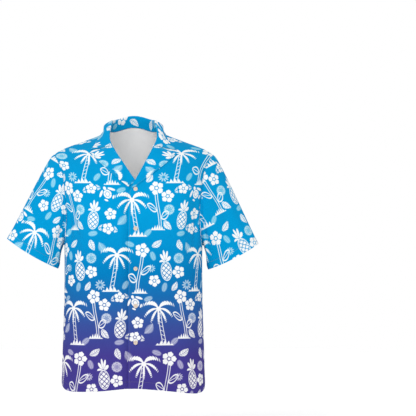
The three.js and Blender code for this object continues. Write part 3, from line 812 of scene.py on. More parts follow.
def rises_of_rows():
    below = np.linspace(HEM_LEVEL, UNDERARM_LEVEL, ROWS_BELOW_UNDERARM)
    t = np.linspace(0, 1, ROWS_AT_ARMHOLE) ** 1.5
    beside = mix(UNDERARM_LEVEL, BEND_LEVEL, t[1:])
    levels = np.concatenate([below, beside])
    above = 1 + np.linspace(0, 1, ROWS_ABOVE_BEND)[1:]
    above[-1] -= TOP_TRIM
    return np.concatenate([(levels - HEM_LEVEL) / (BEND_LEVEL - HEM_LEVEL), above])


def body_sheet(surface, face, shares, rises, seams):
    """A front or the back. seams says which of its two ends is a side seam: left, right."""
    points = surface(shares, rises)
    normals = normal_of(surface, shares, rises)
    start = run_lengths(points, 1)
    end = start[:, -1:] - start
    up = run_lengths(points, 0)
    down = up[-1:] - up
    lift = fold_depth(CREASES[face], points[..., 0], points[..., 2])
    for near, is_seam in ((start, seams[0]), (end, seams[1])):
        if is_seam:
            lift += sunk(near, *BODY_SEAM)
    outside_neck = smooth((np.abs(shares) - NECK_SHARE) / 0.02)
    lift += sunk(down, *SHOULDER_SEAM_SINK) * outside_neck
    hem = sizes().hem_depth / MM
    lift += hem_lift(up, hem) + sunk(up, *HEM_EDGE)
    outer = points + normals * lift[..., None]
    inward = np.where(np.sum(grid_normals(outer) * normals, axis=-1, keepdims=True) > 0, -1, 1)
    thickness = hem_thickness(up, hem)
    sheet = Sheet(outer, outer + grid_normals(outer) * inward * thickness[..., None])
    sheet.level = points[..., 2]
    sheet.from_hem = up - hem
    quarter = look_up(BODY_SECTIONS, "level", "half_width", BODY_PRINT_LEVEL)
    quarter = quarter * QUARTER_LENGTHS[-1]
    above = np.maximum(rises - 1, 0)
    bend_row = int(np.argmin(np.abs(rises[:, 0] - 1)))
    height = np.where(above > 0, BEND_LEVEL + up - up[bend_row], points[..., 2])
    sheet.cloth = np.stack([shares * quarter, height], axis=-1)
    return sheet


def front_sheet(surface, edge, side):
    rises = rises_of_rows()
    inner = inner_share(surface, edge, rises)
    outer = side * outer_share("front", rises)
    t = np.linspace(0, 1, FRONT_COLUMNS + 1)[None, :]
    ends = (inner, outer) if side > 0 else (outer, inner)
    shares = mix(ends[0][:, None], ends[1][:, None], t)
    rise_grid = np.broadcast_to(rises[:, None], shares.shape)
    sheet = body_sheet(surface, "front", shares, rise_grid, (side < 0, side > 0))
    start = run_lengths(sheet.face, 1)
    from_placket = start if side > 0 else start[:, -1:] - start
    sheet.from_edge = from_placket - sizes().edge_stitch / MM
    return sheet


def back_sheet():
    rises = rises_of_rows()
    neck = NECK_SHARE * np.sin(np.linspace(0, np.pi / 2, BACK_NECK_COLUMNS + 1))
    t = np.linspace(0, 1, BACK_SIDE_COLUMNS + 1)[None, 1:]
    outer = outer_share("back", rises)[:, None]
    half = np.concatenate(
        [np.broadcast_to(neck, (len(rises), len(neck))), mix(NECK_SHARE, outer, t)], axis=1
    )
    shares = np.concatenate([-half[:, :0:-1], half], axis=1)
    top = back_top(shares)
    rise_grid = np.broadcast_to(rises[:, None], shares.shape)
    rise_grid = np.where(rise_grid > 1, mix(1, top, rise_grid - 1), rise_grid)
    sheet = body_sheet(BACK, "back", shares, rise_grid, (True, True))
    sheet.cloth = sheet.cloth * np.array([-1, 1]) + np.array(BACK_PRINT)
    return sheet


def armhole_edge(surface, face, side):
    """The body's edge that a sleeve is sewn to, from the shoulder tip down to the underarm."""
    lowest = (UNDERARM_LEVEL - HEM_LEVEL) / (BEND_LEVEL - HEM_LEVEL)
    rises = mix(2 - TOP_TRIM, lowest, np.linspace(0, 1, ARMHOLE_SAMPLES))
    shares = side * outer_share(face, rises)
    points = surface(shares, rises)
    lengths = run_lengths(points, 0)
    even = np.linspace(0, lengths[-1], SLEEVE_HALF_LOOP)
    rises = np.interp(even, lengths, rises)
    shares = side * outer_share(face, rises)
    points = surface(shares, rises)
    away = unit(points - surface(shares - side * 0.01, rises)) * SEAM_GAP
    return points + away, normal_of(surface, shares, rises)


def sleeve_sheet(side_name):
    """A sleeve: a tube from the armhole's edge to the oval cuff."""
    cuff = CUFFS[side_name]
    side = cuff["side"]
    front, front_normals = armhole_edge(LEFT_FRONT if side > 0 else RIGHT_FRONT, "front", side)
    back, back_normals = armhole_edge(BACK, "back", side)
    loop = np.concatenate([front, back[::-1]])
    loop_normals = np.concatenate([front_normals, back_normals[::-1]])
    half = np.linspace(0.002, 0.498, SLEEVE_HALF_LOOP)
    turn = np.concatenate([half, 0.5 + half])

    outer_end = np.array([cuff["outer"][0], 0, cuff["outer"][1]], float)
    inner_end = np.array([cuff["inner"][0], 0, cuff["inner"][1]], float)
    middle = (outer_end + inner_end) / 2
    across = outer_end - middle
    down = unit(np.array([across[2], 0, -across[0]]))
    if down[2] > 0:
        down = -down
    shoulder = np.array([side * SHOULDER_WAY["x"], 0, SHOULDER_WAY["z"]])

    angle = turn * 2 * np.pi
    end = (
        middle
        + across * np.cos(angle)[:, None]
        - np.array([0, cuff["half_depth"], 0]) * np.sin(angle)[:, None]
        + down * (CUFF_SAG * np.sin(angle) ** 2)[:, None]
    )
    top = np.maximum(np.cos(angle), 0)
    leave = unit(down + shoulder * (SHOULDER_WAY["strength"] * top)[:, None])
    leave[:, 1] -= SLEEVE_PULL["bulge"] * np.sin(angle)
    leave *= mix(SLEEVE_PULL["elsewhere"], SLEEVE_PULL["top"], top)[:, None]
    arrive = down * (CUFF_PULL * np.linalg.norm(loop - end, axis=-1))[:, None]
    rows = np.linspace(0, 1, SLEEVE_ROWS + 1)
    t = rows[:, None, None]
    tube = (
        loop * (2 * t**3 - 3 * t**2 + 1)
        + leave * (t**3 - 2 * t**2 + t)
        + end * (3 * t**2 - 2 * t**3)
        + arrive * (t**3 - t**2)
    )

    axis = tube.mean(axis=1, keepdims=True)
    normals = facing(grid_normals(tube, closed=True), tube - axis)
    lift = np.zeros(tube.shape[:2])
    for fold in SLEEVE_FOLDS:
        far = np.clip((rows - fold["along"]) / fold["long"], -1, 1)
        near = (turn - fold["around"]) / fold["width"]
        lift += fold["depth"] * np.outer(np.cos(far * np.pi / 2) ** 2, np.exp(-near * near))
    lift *= smooth(rows * 4)[:, None]
    folded = tube + normals * lift[..., None]

    from_armhole = run_lengths(folded, 0)
    from_cuff = from_armhole[-1:] - from_armhole
    hem = sizes().hem_depth / MM
    lift = sunk(from_armhole, *SLEEVE_SEAM)
    at_head = np.exp(-(((from_armhole - PUCKER_PLACE) / PUCKER_WIDTH) ** 2))
    lift += PUCKER_HEIGHT * (np.sin(turn * 2 * np.pi * PUCKERS)[None, :] * at_head)
    underarm = np.abs(turn - 0.5) * SLEEVE_ROUND
    lift += sunk(underarm, *UNDERARM_SEAM)[None, :] * smooth(from_armhole / 10)
    lift += hem_lift(from_cuff, hem)
    normals = facing(grid_normals(folded, closed=True), folded - axis)
    start_weight = smooth(1 - rows * 12)[:, None, None]
    normals = unit(mix(normals, loop_normals[None, :, :], start_weight))
    outer = folded + normals * lift[..., None]
    sheet = Sheet(outer, outer - normals * hem_thickness(from_cuff, hem)[..., None], True)
    sheet.from_hem = from_cuff - hem
    sheet.roll(SLEEVE_HALF_LOOP)
    across = unit(across)
    closed = np.concatenate([sheet.face, sheet.face[:, :1]], axis=1)
    steps = np.diff(closed, axis=1)
    steps = steps - (steps @ down)[..., None] * down
    around = np.insert(np.cumsum(np.linalg.norm(steps, axis=-1), axis=1), 0, 0, axis=1)
    top = around[:, SLEEVE_HALF_LOOP : SLEEVE_HALF_LOOP + 1]
    outward = closed[:, SLEEVE_HALF_LOOP : SLEEVE_HALF_LOOP + 1] @ across
    printed_x = side * (outward + top - around)
    sheet.cloth = np.stack([printed_x, -(closed @ down)], axis=-1) + SLEEVE_PRINT[side_name]
    return sheet


def spline_through(points, steps):
    """Points on an even-step smooth curve through each list of control points."""
    last = len(points) - 1
    before = 2 * points[0] - points[1]
    after = 2 * points[last] - points[last - 1]
    knots = np.concatenate([before[None], points, after[None]])
    spans = np.linalg.norm(np.diff(knots, axis=0), axis=-1) ** 0.5
    curve = []
    for share in steps:
        k = min(int(share * last), last - 1)
        t = share * last - k
        p0, p1, p2, p3 = knots[k : k + 4]
        d0, d1, d2 = (span[..., None] for span in spans[k : k + 3])
        leave = ((p1 - p0) / d0 - (p2 - p0) / (d0 + d1) + (p2 - p1) / d1) * d1
        arrive = ((p2 - p1) / d1 - (p3 - p1) / (d1 + d2) + (p3 - p2) / d2) * d1
        curve.append(
            p1
            + leave * t
            + (3 * (p2 - p1) - 2 * leave - arrive) * t**2
            + (2 * (p1 - p2) + leave + arrive) * t**3
        )
    return np.stack(curve)


def leaf_lines(surface, fold_x, fold_z, values, upright):
    """The places that the control points of a turned leaf's lines need."""
    steps = np.array([0, 0.12] + [along for along, _ in LYING_STEPS])[:, None]
    x = mix(fold_x, values["edge_x"], steps)
    z = mix(fold_z, values["edge_z"], steps)
    share, rise = place_of(surface, x, z)
    return {
        "points": surface(share, rise),
        "normals": normal_of(surface, share, rise),
        "stand": values["stand"],
        "lean": values["lean"],
        "roll": values["roll"],
        "upright": upright,
    }


def leaf_values(rows, key, at):
    names = ("stand", "lean", "roll", "edge_x", "edge_z")
    return {name: look_up(rows, key, name, at) for name in names}


def front_lines(surface, edge, rows, levels):
    values = leaf_values(rows, "fold_z", levels)
    fold_x = look_up(edge, "z", "x", levels)
    upright = smooth((levels - LYING_LEVEL) / -LYING_LEVEL)
    return leaf_lines(surface, fold_x, levels, values, upright)


def back_lines():
    turns = np.linspace(-1, 1, COLLAR_BACK_LINES + 1)[1:-1]
    share = NECK_SHARE * np.sin(turns * np.pi / 2)
    neck = BACK(share, back_top(share))
    values = leaf_values(COLLAR_BACK, "turn", np.abs(turns))
    values["edge_x"] = values["edge_x"] * np.sign(turns)
    return leaf_lines(BACK, neck[:, 0], neck[:, 2], values, np.ones(len(turns)))


def turned_leaf(groups):
    """A leaf turned back at the neck: up its stand, over the roll and down on the cloth below."""
    joined = {}
    for key in groups[0]:
        lines_axis = -2 if key in ("points", "normals") else -1
        joined[key] = np.concatenate([group[key] for group in groups], axis=lines_axis)
    points, normals = joined["points"], joined["normals"]
    stand, lean, roll = (joined[key][:, None] for key in ("stand", "lean", "roll"))
    seam, near, seam_normal = points[0], points[1], normals[0]
    out = facing(unit(np.cross(seam_normal, np.gradient(seam, axis=0))), near - seam)
    up = unit(mix(seam_normal, np.array([0, 0, 1.0]), joined["upright"][:, None]))
    foot = seam - seam_normal * (CLOTH / 2) - out * (NECK_GAP + CLOTH / 2)
    rest = CLOTH / 2 + LEAF_GAP
    spare = np.maximum(stand - CLOTH - LEAF_GAP, 0)
    controls = [foot]
    controls += [foot + up * stand * high - out * lean * lent for high, lent in STAND_STEPS]
    for high, rolled, off in ROLL_STEPS:
        controls.append(foot + up * high * stand + out * (rolled * roll - lean + off))
    for k, (_, height) in enumerate(LYING_STEPS):
        controls.append(points[k + 2] + normals[k + 2] * (rest + spare * height))
    even = np.linspace(0, 1, LEAF_COLUMNS + 1)
    before = even / ROLL_COLUMNS * 0.5
    after = 0.5 + (even - ROLL_COLUMNS) / (1 - ROLL_COLUMNS) * 0.5
    shares = np.where(even < ROLL_COLUMNS, before, after)
    middle = spline_through(np.stack(controls), shares).transpose(1, 0, 2)

    normals = grid_normals(middle)
    to_edge = run_lengths(middle, 1)
    from_edge = to_edge[:, -1:] - to_edge
    along = run_lengths(middle, 0)
    end_near = np.minimum(along, along[-1:] - along)
    stitch = sizes().edge_stitch / MM
    near_rim = np.where(to_edge < STAND_UNSEWN, from_edge, np.minimum(from_edge, end_near))
    half = LEAF_HALF + LEAF_HEM_HALF * smooth((stitch - near_rim) / 1.5)
    half += sunk(near_rim - stitch, *LEAF_STITCHES) + sunk(near_rim, *LEAF_EDGE)
    sheet = Sheet(middle + normals * half[..., None], middle - normals * half[..., None])
    sheet.from_hem = from_edge - stitch
    sheet.from_edge = end_near - stitch
    sheet.cloth = np.stack([np.broadcast_to(along[:, -1:], along.shape), -to_edge], axis=-1)
    return sheet


# Materials


class Value:
    """A number that changes over the surface. Expressions on it add Math nodes."""

    def __init__(self, nodes, socket):
        self.nodes = nodes
        self.socket = socket

    def math(self, operation, *others, clamp=False):
        settings = {"operation": operation, "use_clamp": clamp}
        sockets = dict(enumerate((self, *others)))
        return Value(self.nodes, self.nodes.add("ShaderNodeMath", settings, sockets).outputs[0])

    def __add__(self, other):
        return self.math("ADD", other)

    def __sub__(self, other):
        return self.math("SUBTRACT", other)

    def __mul__(self, other):
        return self.math("MULTIPLY", other)

    def __truediv__(self, other):
        return self.math("DIVIDE", other)

    def __pow__(self, other):
        return self.math("POWER", other)

    def __rsub__(self, other):
        return self.math("MULTIPLY_ADD", -1, other)

    __radd__ = __add__
    __rmul__ = __mul__

    def abs(self):
        return self.math("ABSOLUTE")

    def cos(self):
        return self.math("COSINE")

    def sin(self):
        return self.math("SINE")

    def sqrt(self):
        return self.math("SQRT")

    def fract(self):
        return self.math("FRACT")

    def max(self, other):
        return self.math("MAXIMUM", other)

    def under(self, limit):
        return self.math("LESS_THAN", limit)

    def mask(self, softness):
        """1 where the value is above zero and 0 where it is below, with a soft step."""
        return self.math("MULTIPLY_ADD", 1 / softness, 0.5, clamp=True)


class Nodes:
    """The node tree of one material, filled from nothing."""

    def __init__(self, name):
        self.material = bpy.data.materials.new(name)
        self.material.use_nodes = True
        self.tree = self.material.node_tree
        self.tree.nodes.clear()

    def add(self, kind, settings, sockets):
        """Adds a node, then its settings, then what its sockets hold or are linked to."""
        node = self.tree.nodes.new(kind)
        for name, setting in settings.items():
            if name == "stops":
                while len(node.color_ramp.elements) < len(setting):
                    node.color_ramp.elements.new(0.5)
                for element, (place, shade) in zip(node.color_ramp.elements, setting):
                    element.position = place
                    element.color = (*shade, 1)
            else:
                setattr(node, name, setting)
        for key, held in sockets.items():
            if isinstance(held, Value):
                held = held.socket
            if isinstance(held, bpy.types.NodeSocket):
                self.tree.links.new(held, node.inputs[key])
            else:
                node.inputs[key].default_value = held
        return node

    def vector(self, operation, *held):
        sockets = dict(enumerate(held))
        return self.add("ShaderNodeVectorMath", {"operation": operation}, sockets)

    def parts(self, vector):
        split = self.add("ShaderNodeSeparateXYZ", {}, {0: vector})
        return [Value(self, socket) for socket in split.outputs]

    def noise(self, vector, size, detail=2):
        sockets = {"Vector": vector, "Scale": 1 / size, "Detail": detail}
        return Value(self, self.add("ShaderNodeTexNoise", {}, sockets).outputs["Fac"])

    def blend(self, share, below, above):
        """Mixes two colours."""
        settings = {"data_type": "RGBA"}
        return self.add("ShaderNodeMix", settings, {0: share, 6: below, 7: above}).outputs[2]

    def finish(self, constants, varying, height, depth):
        """Joins everything to one surface. constants are the same all over it."""
        bump = self.add("ShaderNodeBump", {}, {"Distance": depth, "Height": height})
        sockets = {**constants, **varying, "Normal": bump.outputs[0]}
        surface = self.add("ShaderNodeBsdfPrincipled", {}, sockets)
        self.add("ShaderNodeOutputMaterial", {}, {"Surface": surface.outputs[0]})
        return self.material


class Motif:
    """The frame of a motif, which reaches from -1 to 1 along x and y."""

    def __init__(self, x, y):
        self.x = x
        self.y = y
        self.known = {}

    @property
    def radius(self):
        if "radius" not in self.known:
            self.known["radius"] = (self.x * self.x + self.y * self.y).sqrt()
        return self.known["radius"]

    @property
    def angle(self):
        if "angle" not in self.known:
            self.known["angle"] = self.y.math("ARCTAN2", self.x)
        return self.known["angle"]

    def mask(self, value, softness):
        return value.mask(softness)

    def moved(self, x, y, wide, tall):
        return Motif((self.x - x) / wide, (self.y - y) / tall)


# The print: motifs as formulas. Each gives how white its ink is, from 0 to 1


def hibiscus(m):
    """Five broad petals round a bare ring and a dot."""
    lobe = (m.angle * 2.5).cos().abs()
    rim = lobe ** 0.55 * 0.42 + 0.5 + (m.angle * 15).cos() * 0.03
    petals = m.mask(rim - m.radius, 0.06)
    gaps = m.mask(lobe * m.radius - 0.06, 0.05).max(m.mask(0.26 - m.radius, 0.05))
    ring = m.mask((m.radius - 0.24).abs() - 0.05, 0.05)
    return petals * gaps * ring


def sprig(m):
    """A hibiscus between two veined leaves."""
    side = m.x.abs()
    off = (m.y + side * 0.32 - 0.2).abs()
    half = 0.3 - (side - 0.6) * (side - 0.6) * 1.9
    blade = m.mask(half - off, 0.05) * m.mask(off - 0.035, 0.04)
    wave = ((side * 6 - off * 5).fract() - 0.5).abs()
    veins = m.mask(wave - 0.12, 0.1)
    bloom = m.moved(0, 0, 0.62, 0.62)
    clear = m.mask(bloom.radius - 1.02, 0.06)
    return hibiscus(bloom).max(blade * veins * clear)


def leaf(m):
    """A pointed leaf with a bare midrib and side veins."""
    half = (1 - m.x * m.x) * (1.1 - m.x * 0.3) * 0.46
    off = m.y - m.x * m.x * 0.14
    blade = m.mask(half - off.abs(), 0.06) * m.mask(off.abs() - 0.035, 0.04)
    wave = (((m.x - off.abs() * 0.8) * 3.1).fract() - 0.5).abs()
    veins = m.mask(wave - 0.1, 0.08).max(m.mask(0.1 - off.abs(), 0.05))
    return blade * veins


def frond(m):
    """A fern frond in half tone."""
    off = m.y - m.x * m.x * 0.2
    wave = (((m.x + off.abs() * 1.1) * 5).fract() - 0.5).abs() * 2
    half = (1 - m.x * m.x) * (wave * 0.35 + 0.3)
    blade = m.mask(half - off.abs(), 0.1)
    gaps = m.mask(wave - 0.3, 0.3).max(m.mask(0.08 - off.abs(), 0.06))
    return blade * gaps * 0.66


def shell(m):
    """A soft oval shell in half tone with two streaks."""
    tall = m.y * 1.75
    far = (m.x * m.x + tall * tall).sqrt()
    streak = m.mask(0.05 - (tall.abs() - 0.3).abs(), 0.12)
    return m.mask(0.86 - far, 0.24) * (0.48 + streak * 0.27)


def daisy(m):
    """A ten-petalled daisy in half tone."""
    lobe = (m.angle * 5).cos().abs()
    petals = m.mask(lobe * 0.62 + 0.3 - m.radius, 0.1) * m.mask(lobe * m.radius - 0.1, 0.1)
    eye = m.mask((m.radius - 0.2).abs() - 0.05, 0.06)
    return petals * eye * 0.68


def rosette(m):
    """A scalloped disc in half tone with a six-lobed rosette."""
    lobe = (m.angle * 3).cos().abs()
    disc = m.mask((m.angle * 14).cos() * 0.04 + 0.86 - m.radius, 0.06)
    lines = m.mask(0.07 - (lobe * 0.3 + 0.28 - m.radius).abs(), 0.06)
    ring = m.mask(0.05 - (m.radius - 0.7).abs(), 0.05)
    return disc * (0.44 + lines.max(ring) * 0.36)


def grass(m, middle, width):
    """A tuft of blades along the foot of a motif."""
    across = (m.x - middle) / width
    comb = ((m.x * 4.5 + m.y * 0.8).fract() - 0.5).abs() * 2
    top = (1 - across * across) * (0.05 + comb * 0.17)
    return m.mask(top - (m.y + 0.98), 0.03) * m.mask(m.y + 0.98, 0.02)


def palm(m):
    """A palm with an outlined trunk, a drooping crown and grass at its foot."""
    up = m.y + 1
    off = m.x + 0.3 - up * 0.34 + up * up * 0.07
    width = 0.085 - m.y * 0.02
    tall = m.mask(0.42 - m.y, 0.03) * m.mask(m.y + 0.9, 0.03)
    edges = m.mask(0.02 - (off.abs() - width).abs(), 0.025)
    steps = ((m.y * 6 - off * 2).fract() - 0.5).abs()
    rungs = m.mask(0.07 - steps, 0.08) * m.mask(width - off.abs(), 0.02)
    trunk = edges.max(rungs) * tall
    crown = m.moved(0.06, 0.42, 0.98, 0.6)
    lobe = ((crown.angle + crown.x * 0.95) * 3.5 - 0.785).cos().abs()
    comb = ((crown.radius * 9).fract() - 0.5).abs()
    fronds = m.mask(lobe - 0.56 - crown.radius * (0.38 + comb * 0.4), 0.1)
    heart = m.mask(0.15 - crown.radius, 0.05)
    fronds = fronds * m.mask(0.97 - crown.radius, 0.05)
    return fronds.max(heart).max(trunk).max(grass(m, -0.28, 0.55))


def pineapple(m):
    """A latticed pineapple under a solid crown of leaves."""
    low = m.moved(0, -0.34, 0.56, 0.6)
    rising = (((m.x * 0.62 + m.y) * 3.4).fract() - 0.5).abs()
    falling = (((m.x * 0.62 - m.y) * 3.4).fract() - 0.5).abs()
    cells = m.mask(rising - 0.1, 0.06) * m.mask(falling - 0.1, 0.06)
    rim = m.mask(0.05 - (low.radius - 0.93).abs(), 0.04)
    body = (m.mask(0.84 - low.radius, 0.04) * cells).max(rim)
    top = m.moved(0, 0.24, 0.62, 0.72)
    lobe = (top.angle * 4.5 + 1.57).cos().abs()
    leaves = m.mask(lobe * 0.55 + 0.42 - top.radius, 0.06)
    leaves = leaves * m.mask(lobe * top.radius - 0.07, 0.05)
    return body.max(leaves * m.mask(top.y + 0.02, 0.04))


def turtle(m):
    """A sea turtle seen from above."""
    side = m.x.abs()
    shell = m.moved(0, -0.05, 0.46, 0.56)
    lobe = (shell.angle * 3).cos().abs()
    plates = m.mask((shell.radius - 0.42 - lobe * 0.08).abs() - 0.04, 0.05)
    spokes = m.mask(lobe * shell.radius - 0.07, 0.05).max(m.mask(0.42 - shell.radius, 0.04))
    found = m.mask(0.9 - shell.radius, 0.06) * plates * spokes
    for x, y, turn, long, wide in ((0.6, 0.28, -0.75, 0.42, 0.13), (0.42, -0.6, -2.3, 0.22, 0.1)):
        along = ((side - x) * math.cos(turn) + (m.y - y) * math.sin(turn)) / long
        across = ((m.y - y) * math.cos(turn) - (side - x) * math.sin(turn)) / wide
        found = found.max(m.mask(1 - (along * along + across * across).sqrt(), 0.14))
    return found.max(m.mask(1 - m.moved(0, 0.66, 0.15, 0.2).radius, 0.15))


def long_stem(m):
    """A hibiscus on a long bent stem with two outlined leaves and grass at its foot."""
    bend = m.x - (m.y * 2.2 + 0.3).sin() * 0.22 + 0.1
    stem = m.mask(0.032 - (bend.abs() - 0.1).abs(), 0.04)
    stem = stem * m.mask(0.5 - m.y, 0.03) * m.mask(m.y + 0.9, 0.03)
    found = hibiscus(m.moved(0.1, 0.68, 0.68, 0.3)).max(stem)
    for side, foot in ((1, -0.2), (-1, -0.5)):
        along = (bend * side - 0.12) / 0.8
        off = ((m.y - foot - along * 0.22) / 0.14).abs()
        half = along * (1 - along) * 4
        edge = m.mask(0.2 - (half - off).abs(), 0.16).max(m.mask(0.09 - off, 0.1))
        found = found.max(edge * m.mask(half - 0.04, 0.1))
    return found.max(grass(m, -0.1, 0.7))


# The repeat: each motif with its place, its turn in degrees and its half width and half height
REPEAT = [
    (palm, [(52, 224, 0, 48, 72), (172, 76, 0, -48, 72)]),
    (long_stem, [(121, 219, 0, 32, 72), (236, 92, 0, -30, 70)]),
    (pineapple, [(190, 226, 6, 28, 46), (66, 66, -8, 28, 44)]),
    (turtle, [(105, 124, 25, 25, 25)]),
    (
        hibiscus,
        [
            (20, 117, 10, 19, 19),
            (226, 208, 40, 19, 19),
            (112, 68, 25, 18, 18),
            (158, 184, 60, 18, 18),
        ],
    ),
    (sprig, [(104, 28, -8, 28, 28), (62, 138, 12, 26, 26)]),
    (
        leaf,
        [
            (166, 285, 35, 17, 17),
            (22, 36, -50, 17, 17),
            (216, 168, 60, 15, 15),
            (228, 281, -70, 17, 17),
        ],
    ),
    (
        shell,
        [
            (78, 172, 60, 15, 15),
            (154, 252, 110, 15, 15),
            (212, 16, 45, 15, 15),
            (141, 134, 20, 14, 14),
            (186, 166, 75, 15, 15),
            (62, 14, 10, 15, 15),
            (90, 285, 160, 15, 15),
        ],
    ),
    (daisy, [(8, 172, 0, 16, 16), (150, 218, 0, 12, 12)]),
    (rosette, [(226, 246, 0, 17, 17), (26, 80, 0, 17, 17)]),
    (frond, [(144, 50, 50, 18, 18), (14, 274, -50, 18, 18)]),
]


def printed_share(nodes, cloth):
    """How white the print is at a place on the cloth, from 0 to 1."""
    wide, tall = sizes().repeat_width, sizes().repeat_height
    scale_x, scale_y = wide / REPEAT_DRAWN_IN[0], tall / REPEAT_DRAWN_IN[1]
    _, height, _ = nodes.parts(cloth)
    shift = (height / tall).math("FLOOR") * (ROW_SHIFT * wide)
    shift = nodes.add("ShaderNodeCombineXYZ", {}, {0: shift}).outputs[0]
    cloth = nodes.vector("ADD", cloth, shift).outputs[0]
    found = None
    for draw, places in REPEAT:
        nearest = FAR_AWAY
        for x, y, turn, half_width, half_height in places:
            middle = (x * scale_x, y * scale_y, 0)
            high = (middle[0] + wide / 2, middle[1] + tall / 2, 1)
            low = (middle[0] - wide / 2, middle[1] - tall / 2, -1)
            here = nodes.vector("WRAP", cloth, high, low).outputs[0]
            inside = {
                "Vector": here,
                "Location": middle,
                "Rotation": (0, 0, math.radians(turn)),
                "Scale": (half_width * scale_x, half_height * scale_y, 1),
            }
            inside = nodes.add("ShaderNodeMapping", {"vector_type": "TEXTURE"}, inside).outputs[0]
            reach = Value(nodes, nodes.vector("LENGTH", inside).outputs["Value"])
            sockets = {0: reach.under(MOTIF_REACH), 4: nearest, 5: inside}
            nearest = nodes.add("ShaderNodeMix", {"data_type": "VECTOR"}, sockets).outputs[1]
        x, y, _ = nodes.parts(nearest)
        motif = Motif(x, y)
        shown = draw(motif) * motif.radius.under(MOTIF_REACH)
        found = shown if found is None else found.max(shown)
    return found


def weave_height(cloth_x, cloth_y, pitch):
    """Threads that pass over and under each other."""
    over = (cloth_x * (math.pi / pitch)).sin() * (cloth_y * (math.pi / pitch)).sin()
    across = (cloth_x * (2 * math.pi / pitch)).cos() * (0.5 + over * 0.5)
    along = (cloth_y * (2 * math.pi / pitch)).cos() * (0.5 - over * 0.5)
    return across + along


def stitch_rows(nodes, cloth_x, cloth_y):
    """The rows of stitches beside hems and edges: where thread shows and where cloth is drawn in, the
    valley that the cloth's colour darkens with painted shade.
    """
    sewing = nodes.add("ShaderNodeAttribute", {"attribute_name": "sewing"}, {}).outputs["Vector"]
    from_hem, from_edge, _ = nodes.parts(sewing)
    thread, drawn = None, None
    for distance, along in ((from_hem, cloth_x), (from_edge, cloth_y)):
        near = distance.abs()
        gap = ((along * (1 / sizes().stitch_length)).fract() - 0.5).abs()
        line = (STITCH_WIDTH / 2 - near).mask(STITCH_WIDTH / 2) * (0.38 - gap).mask(0.12)
        valley = (STITCH_WIDTH * 2 - near).mask(STITCH_WIDTH * 3)
        thread = line if thread is None else thread.max(line)
        drawn = valley if drawn is None else drawn.max(valley)
    return thread, drawn


def dimmed(shade):
    """A screen colour as the cloth's own, which the studio light brings back to it."""
    return tuple(c * LIGHT_SHARE for c in shade)


def kept_material(name, make):
    return bpy.data.materials.get(name) or make(Nodes(name))


def cloth_surface(nodes, shade, cloth, ink=0):
    """The parts that the printed face and the reverse share: weave, fuzz and stitches, with painted
    shade in the weave's hollows and in the drawn-in valleys beside the stitches.
    """
    cloth_x, cloth_y, _ = nodes.parts(cloth)
    thread, drawn = stitch_rows(nodes, cloth_x, cloth_y)
    weave = weave_height(cloth_x, cloth_y, WEAVE_PITCH)
    slubs = nodes.noise(nodes.vector("MULTIPLY", cloth, (1, 0.06, 1)).outputs[0], 0.0012)
    mottle = nodes.noise(cloth, 0.03)
    # Painted shade: the tone is darker in the drawn-in valleys beside the stitches and lighter on the
    # weave's raised threads. The slubs and the mottle are the yarn's own tone.
    tone = (slubs - 0.5) * 0.1 + (mottle - 0.5) * 0.06 + weave * 0.02 + 1 - drawn * 0.07
    tone_and_painted_shade = nodes.add("ShaderNodeCombineColor", {}, {0: tone, 1: tone, 2: tone}).outputs[0]
    settings = {"data_type": "RGBA", "blend_type": "MULTIPLY"}
    shade = nodes.add("ShaderNodeMix", settings, {0: 1.0, 6: shade, 7: tone_and_painted_shade}).outputs[2]
    pale = (*dimmed(colours().thread), 1)
    shade = nodes.blend(thread * 0.16, shade, pale)
    height = weave * 0.3 + slubs * 0.5 + thread * 2.2 - drawn * 1.6 + ink * 0.25
    constants = {"Specular IOR Level": 0.02, "Sheen Weight": 0.015, "Sheen Roughness": 0.5}
    varying = {"Base Color": shade, "Roughness": 0.9 - ink * 0.08 - thread * 0.2}
    return nodes.finish(constants, varying, height, CLOTH_RELIEF)


def make_printed_cloth(nodes):
    cloth = nodes.add("ShaderNodeUVMap", {"uv_map": "Cloth"}, {}).outputs[0]
    level = nodes.add("ShaderNodeAttribute", {"attribute_name": "level"}, {}).outputs["Fac"]
    top, bottom = GROUND_STOPS[0][0], GROUND_STOPS[-1][0]
    down = (Value(nodes, level) - top * MM) / ((bottom - top) * MM)
    stops = [
        ((at - top) / (bottom - top), dimmed(getattr(colours(), name))) for at, name in GROUND_STOPS
    ]
    ground = nodes.add("ShaderNodeValToRGB", {"stops": stops}, {0: down}).outputs[0]
    ink = printed_share(nodes, cloth)
    soaked = nodes.noise(cloth, 0.0009, 1)
    white = [c ** (1 / SCREEN_GAMMA) for c in dimmed(colours().print_white)]
    seen = nodes.add("ShaderNodeGamma", {}, {0: ground, 1: 1 / SCREEN_GAMMA}).outputs[0]
    seen = nodes.blend(ink * (0.94 + soaked * 0.1), seen, (*white, 1))
    shade = nodes.add("ShaderNodeGamma", {}, {0: seen, 1: SCREEN_GAMMA}).outputs[0]
    return cloth_surface(nodes, shade, cloth, ink)


def make_reverse_cloth(nodes):
    cloth = nodes.add("ShaderNodeUVMap", {"uv_map": "Cloth"}, {}).outputs[0]
    blotch = nodes.noise(cloth, 0.08)
    plain = colours().reverse
    shade = nodes.blend(blotch, (*[c * 0.97 for c in plain], 1), (*plain, 1))
    return cloth_surface(nodes, shade, cloth)


def make_button_plastic(nodes):
    place = nodes.add("ShaderNodeTexCoord", {}, {}).outputs["Object"]
    cloudy = nodes.noise(place, 0.004, 3)
    streaks = nodes.noise(nodes.vector("MULTIPLY", place, (1, 1, 5)).outputs[0], 0.0025, 2)
    pale = dimmed(colours().button)
    share = cloudy * 0.5 + (streaks - 0.5) * 0.8 + 0.25
    shade = nodes.blend(share, (*[c * 0.72 for c in pale], 1), (*pale, 1))
    constants = {"Coat Roughness": 0.15, "Specular IOR Level": 0.4}
    varying = {"Base Color": shade, "Roughness": 0.32 + cloudy * 0.12, "Coat Weight": 0.25}
    return nodes.finish(constants, varying, streaks, BUTTON_RELIEF)


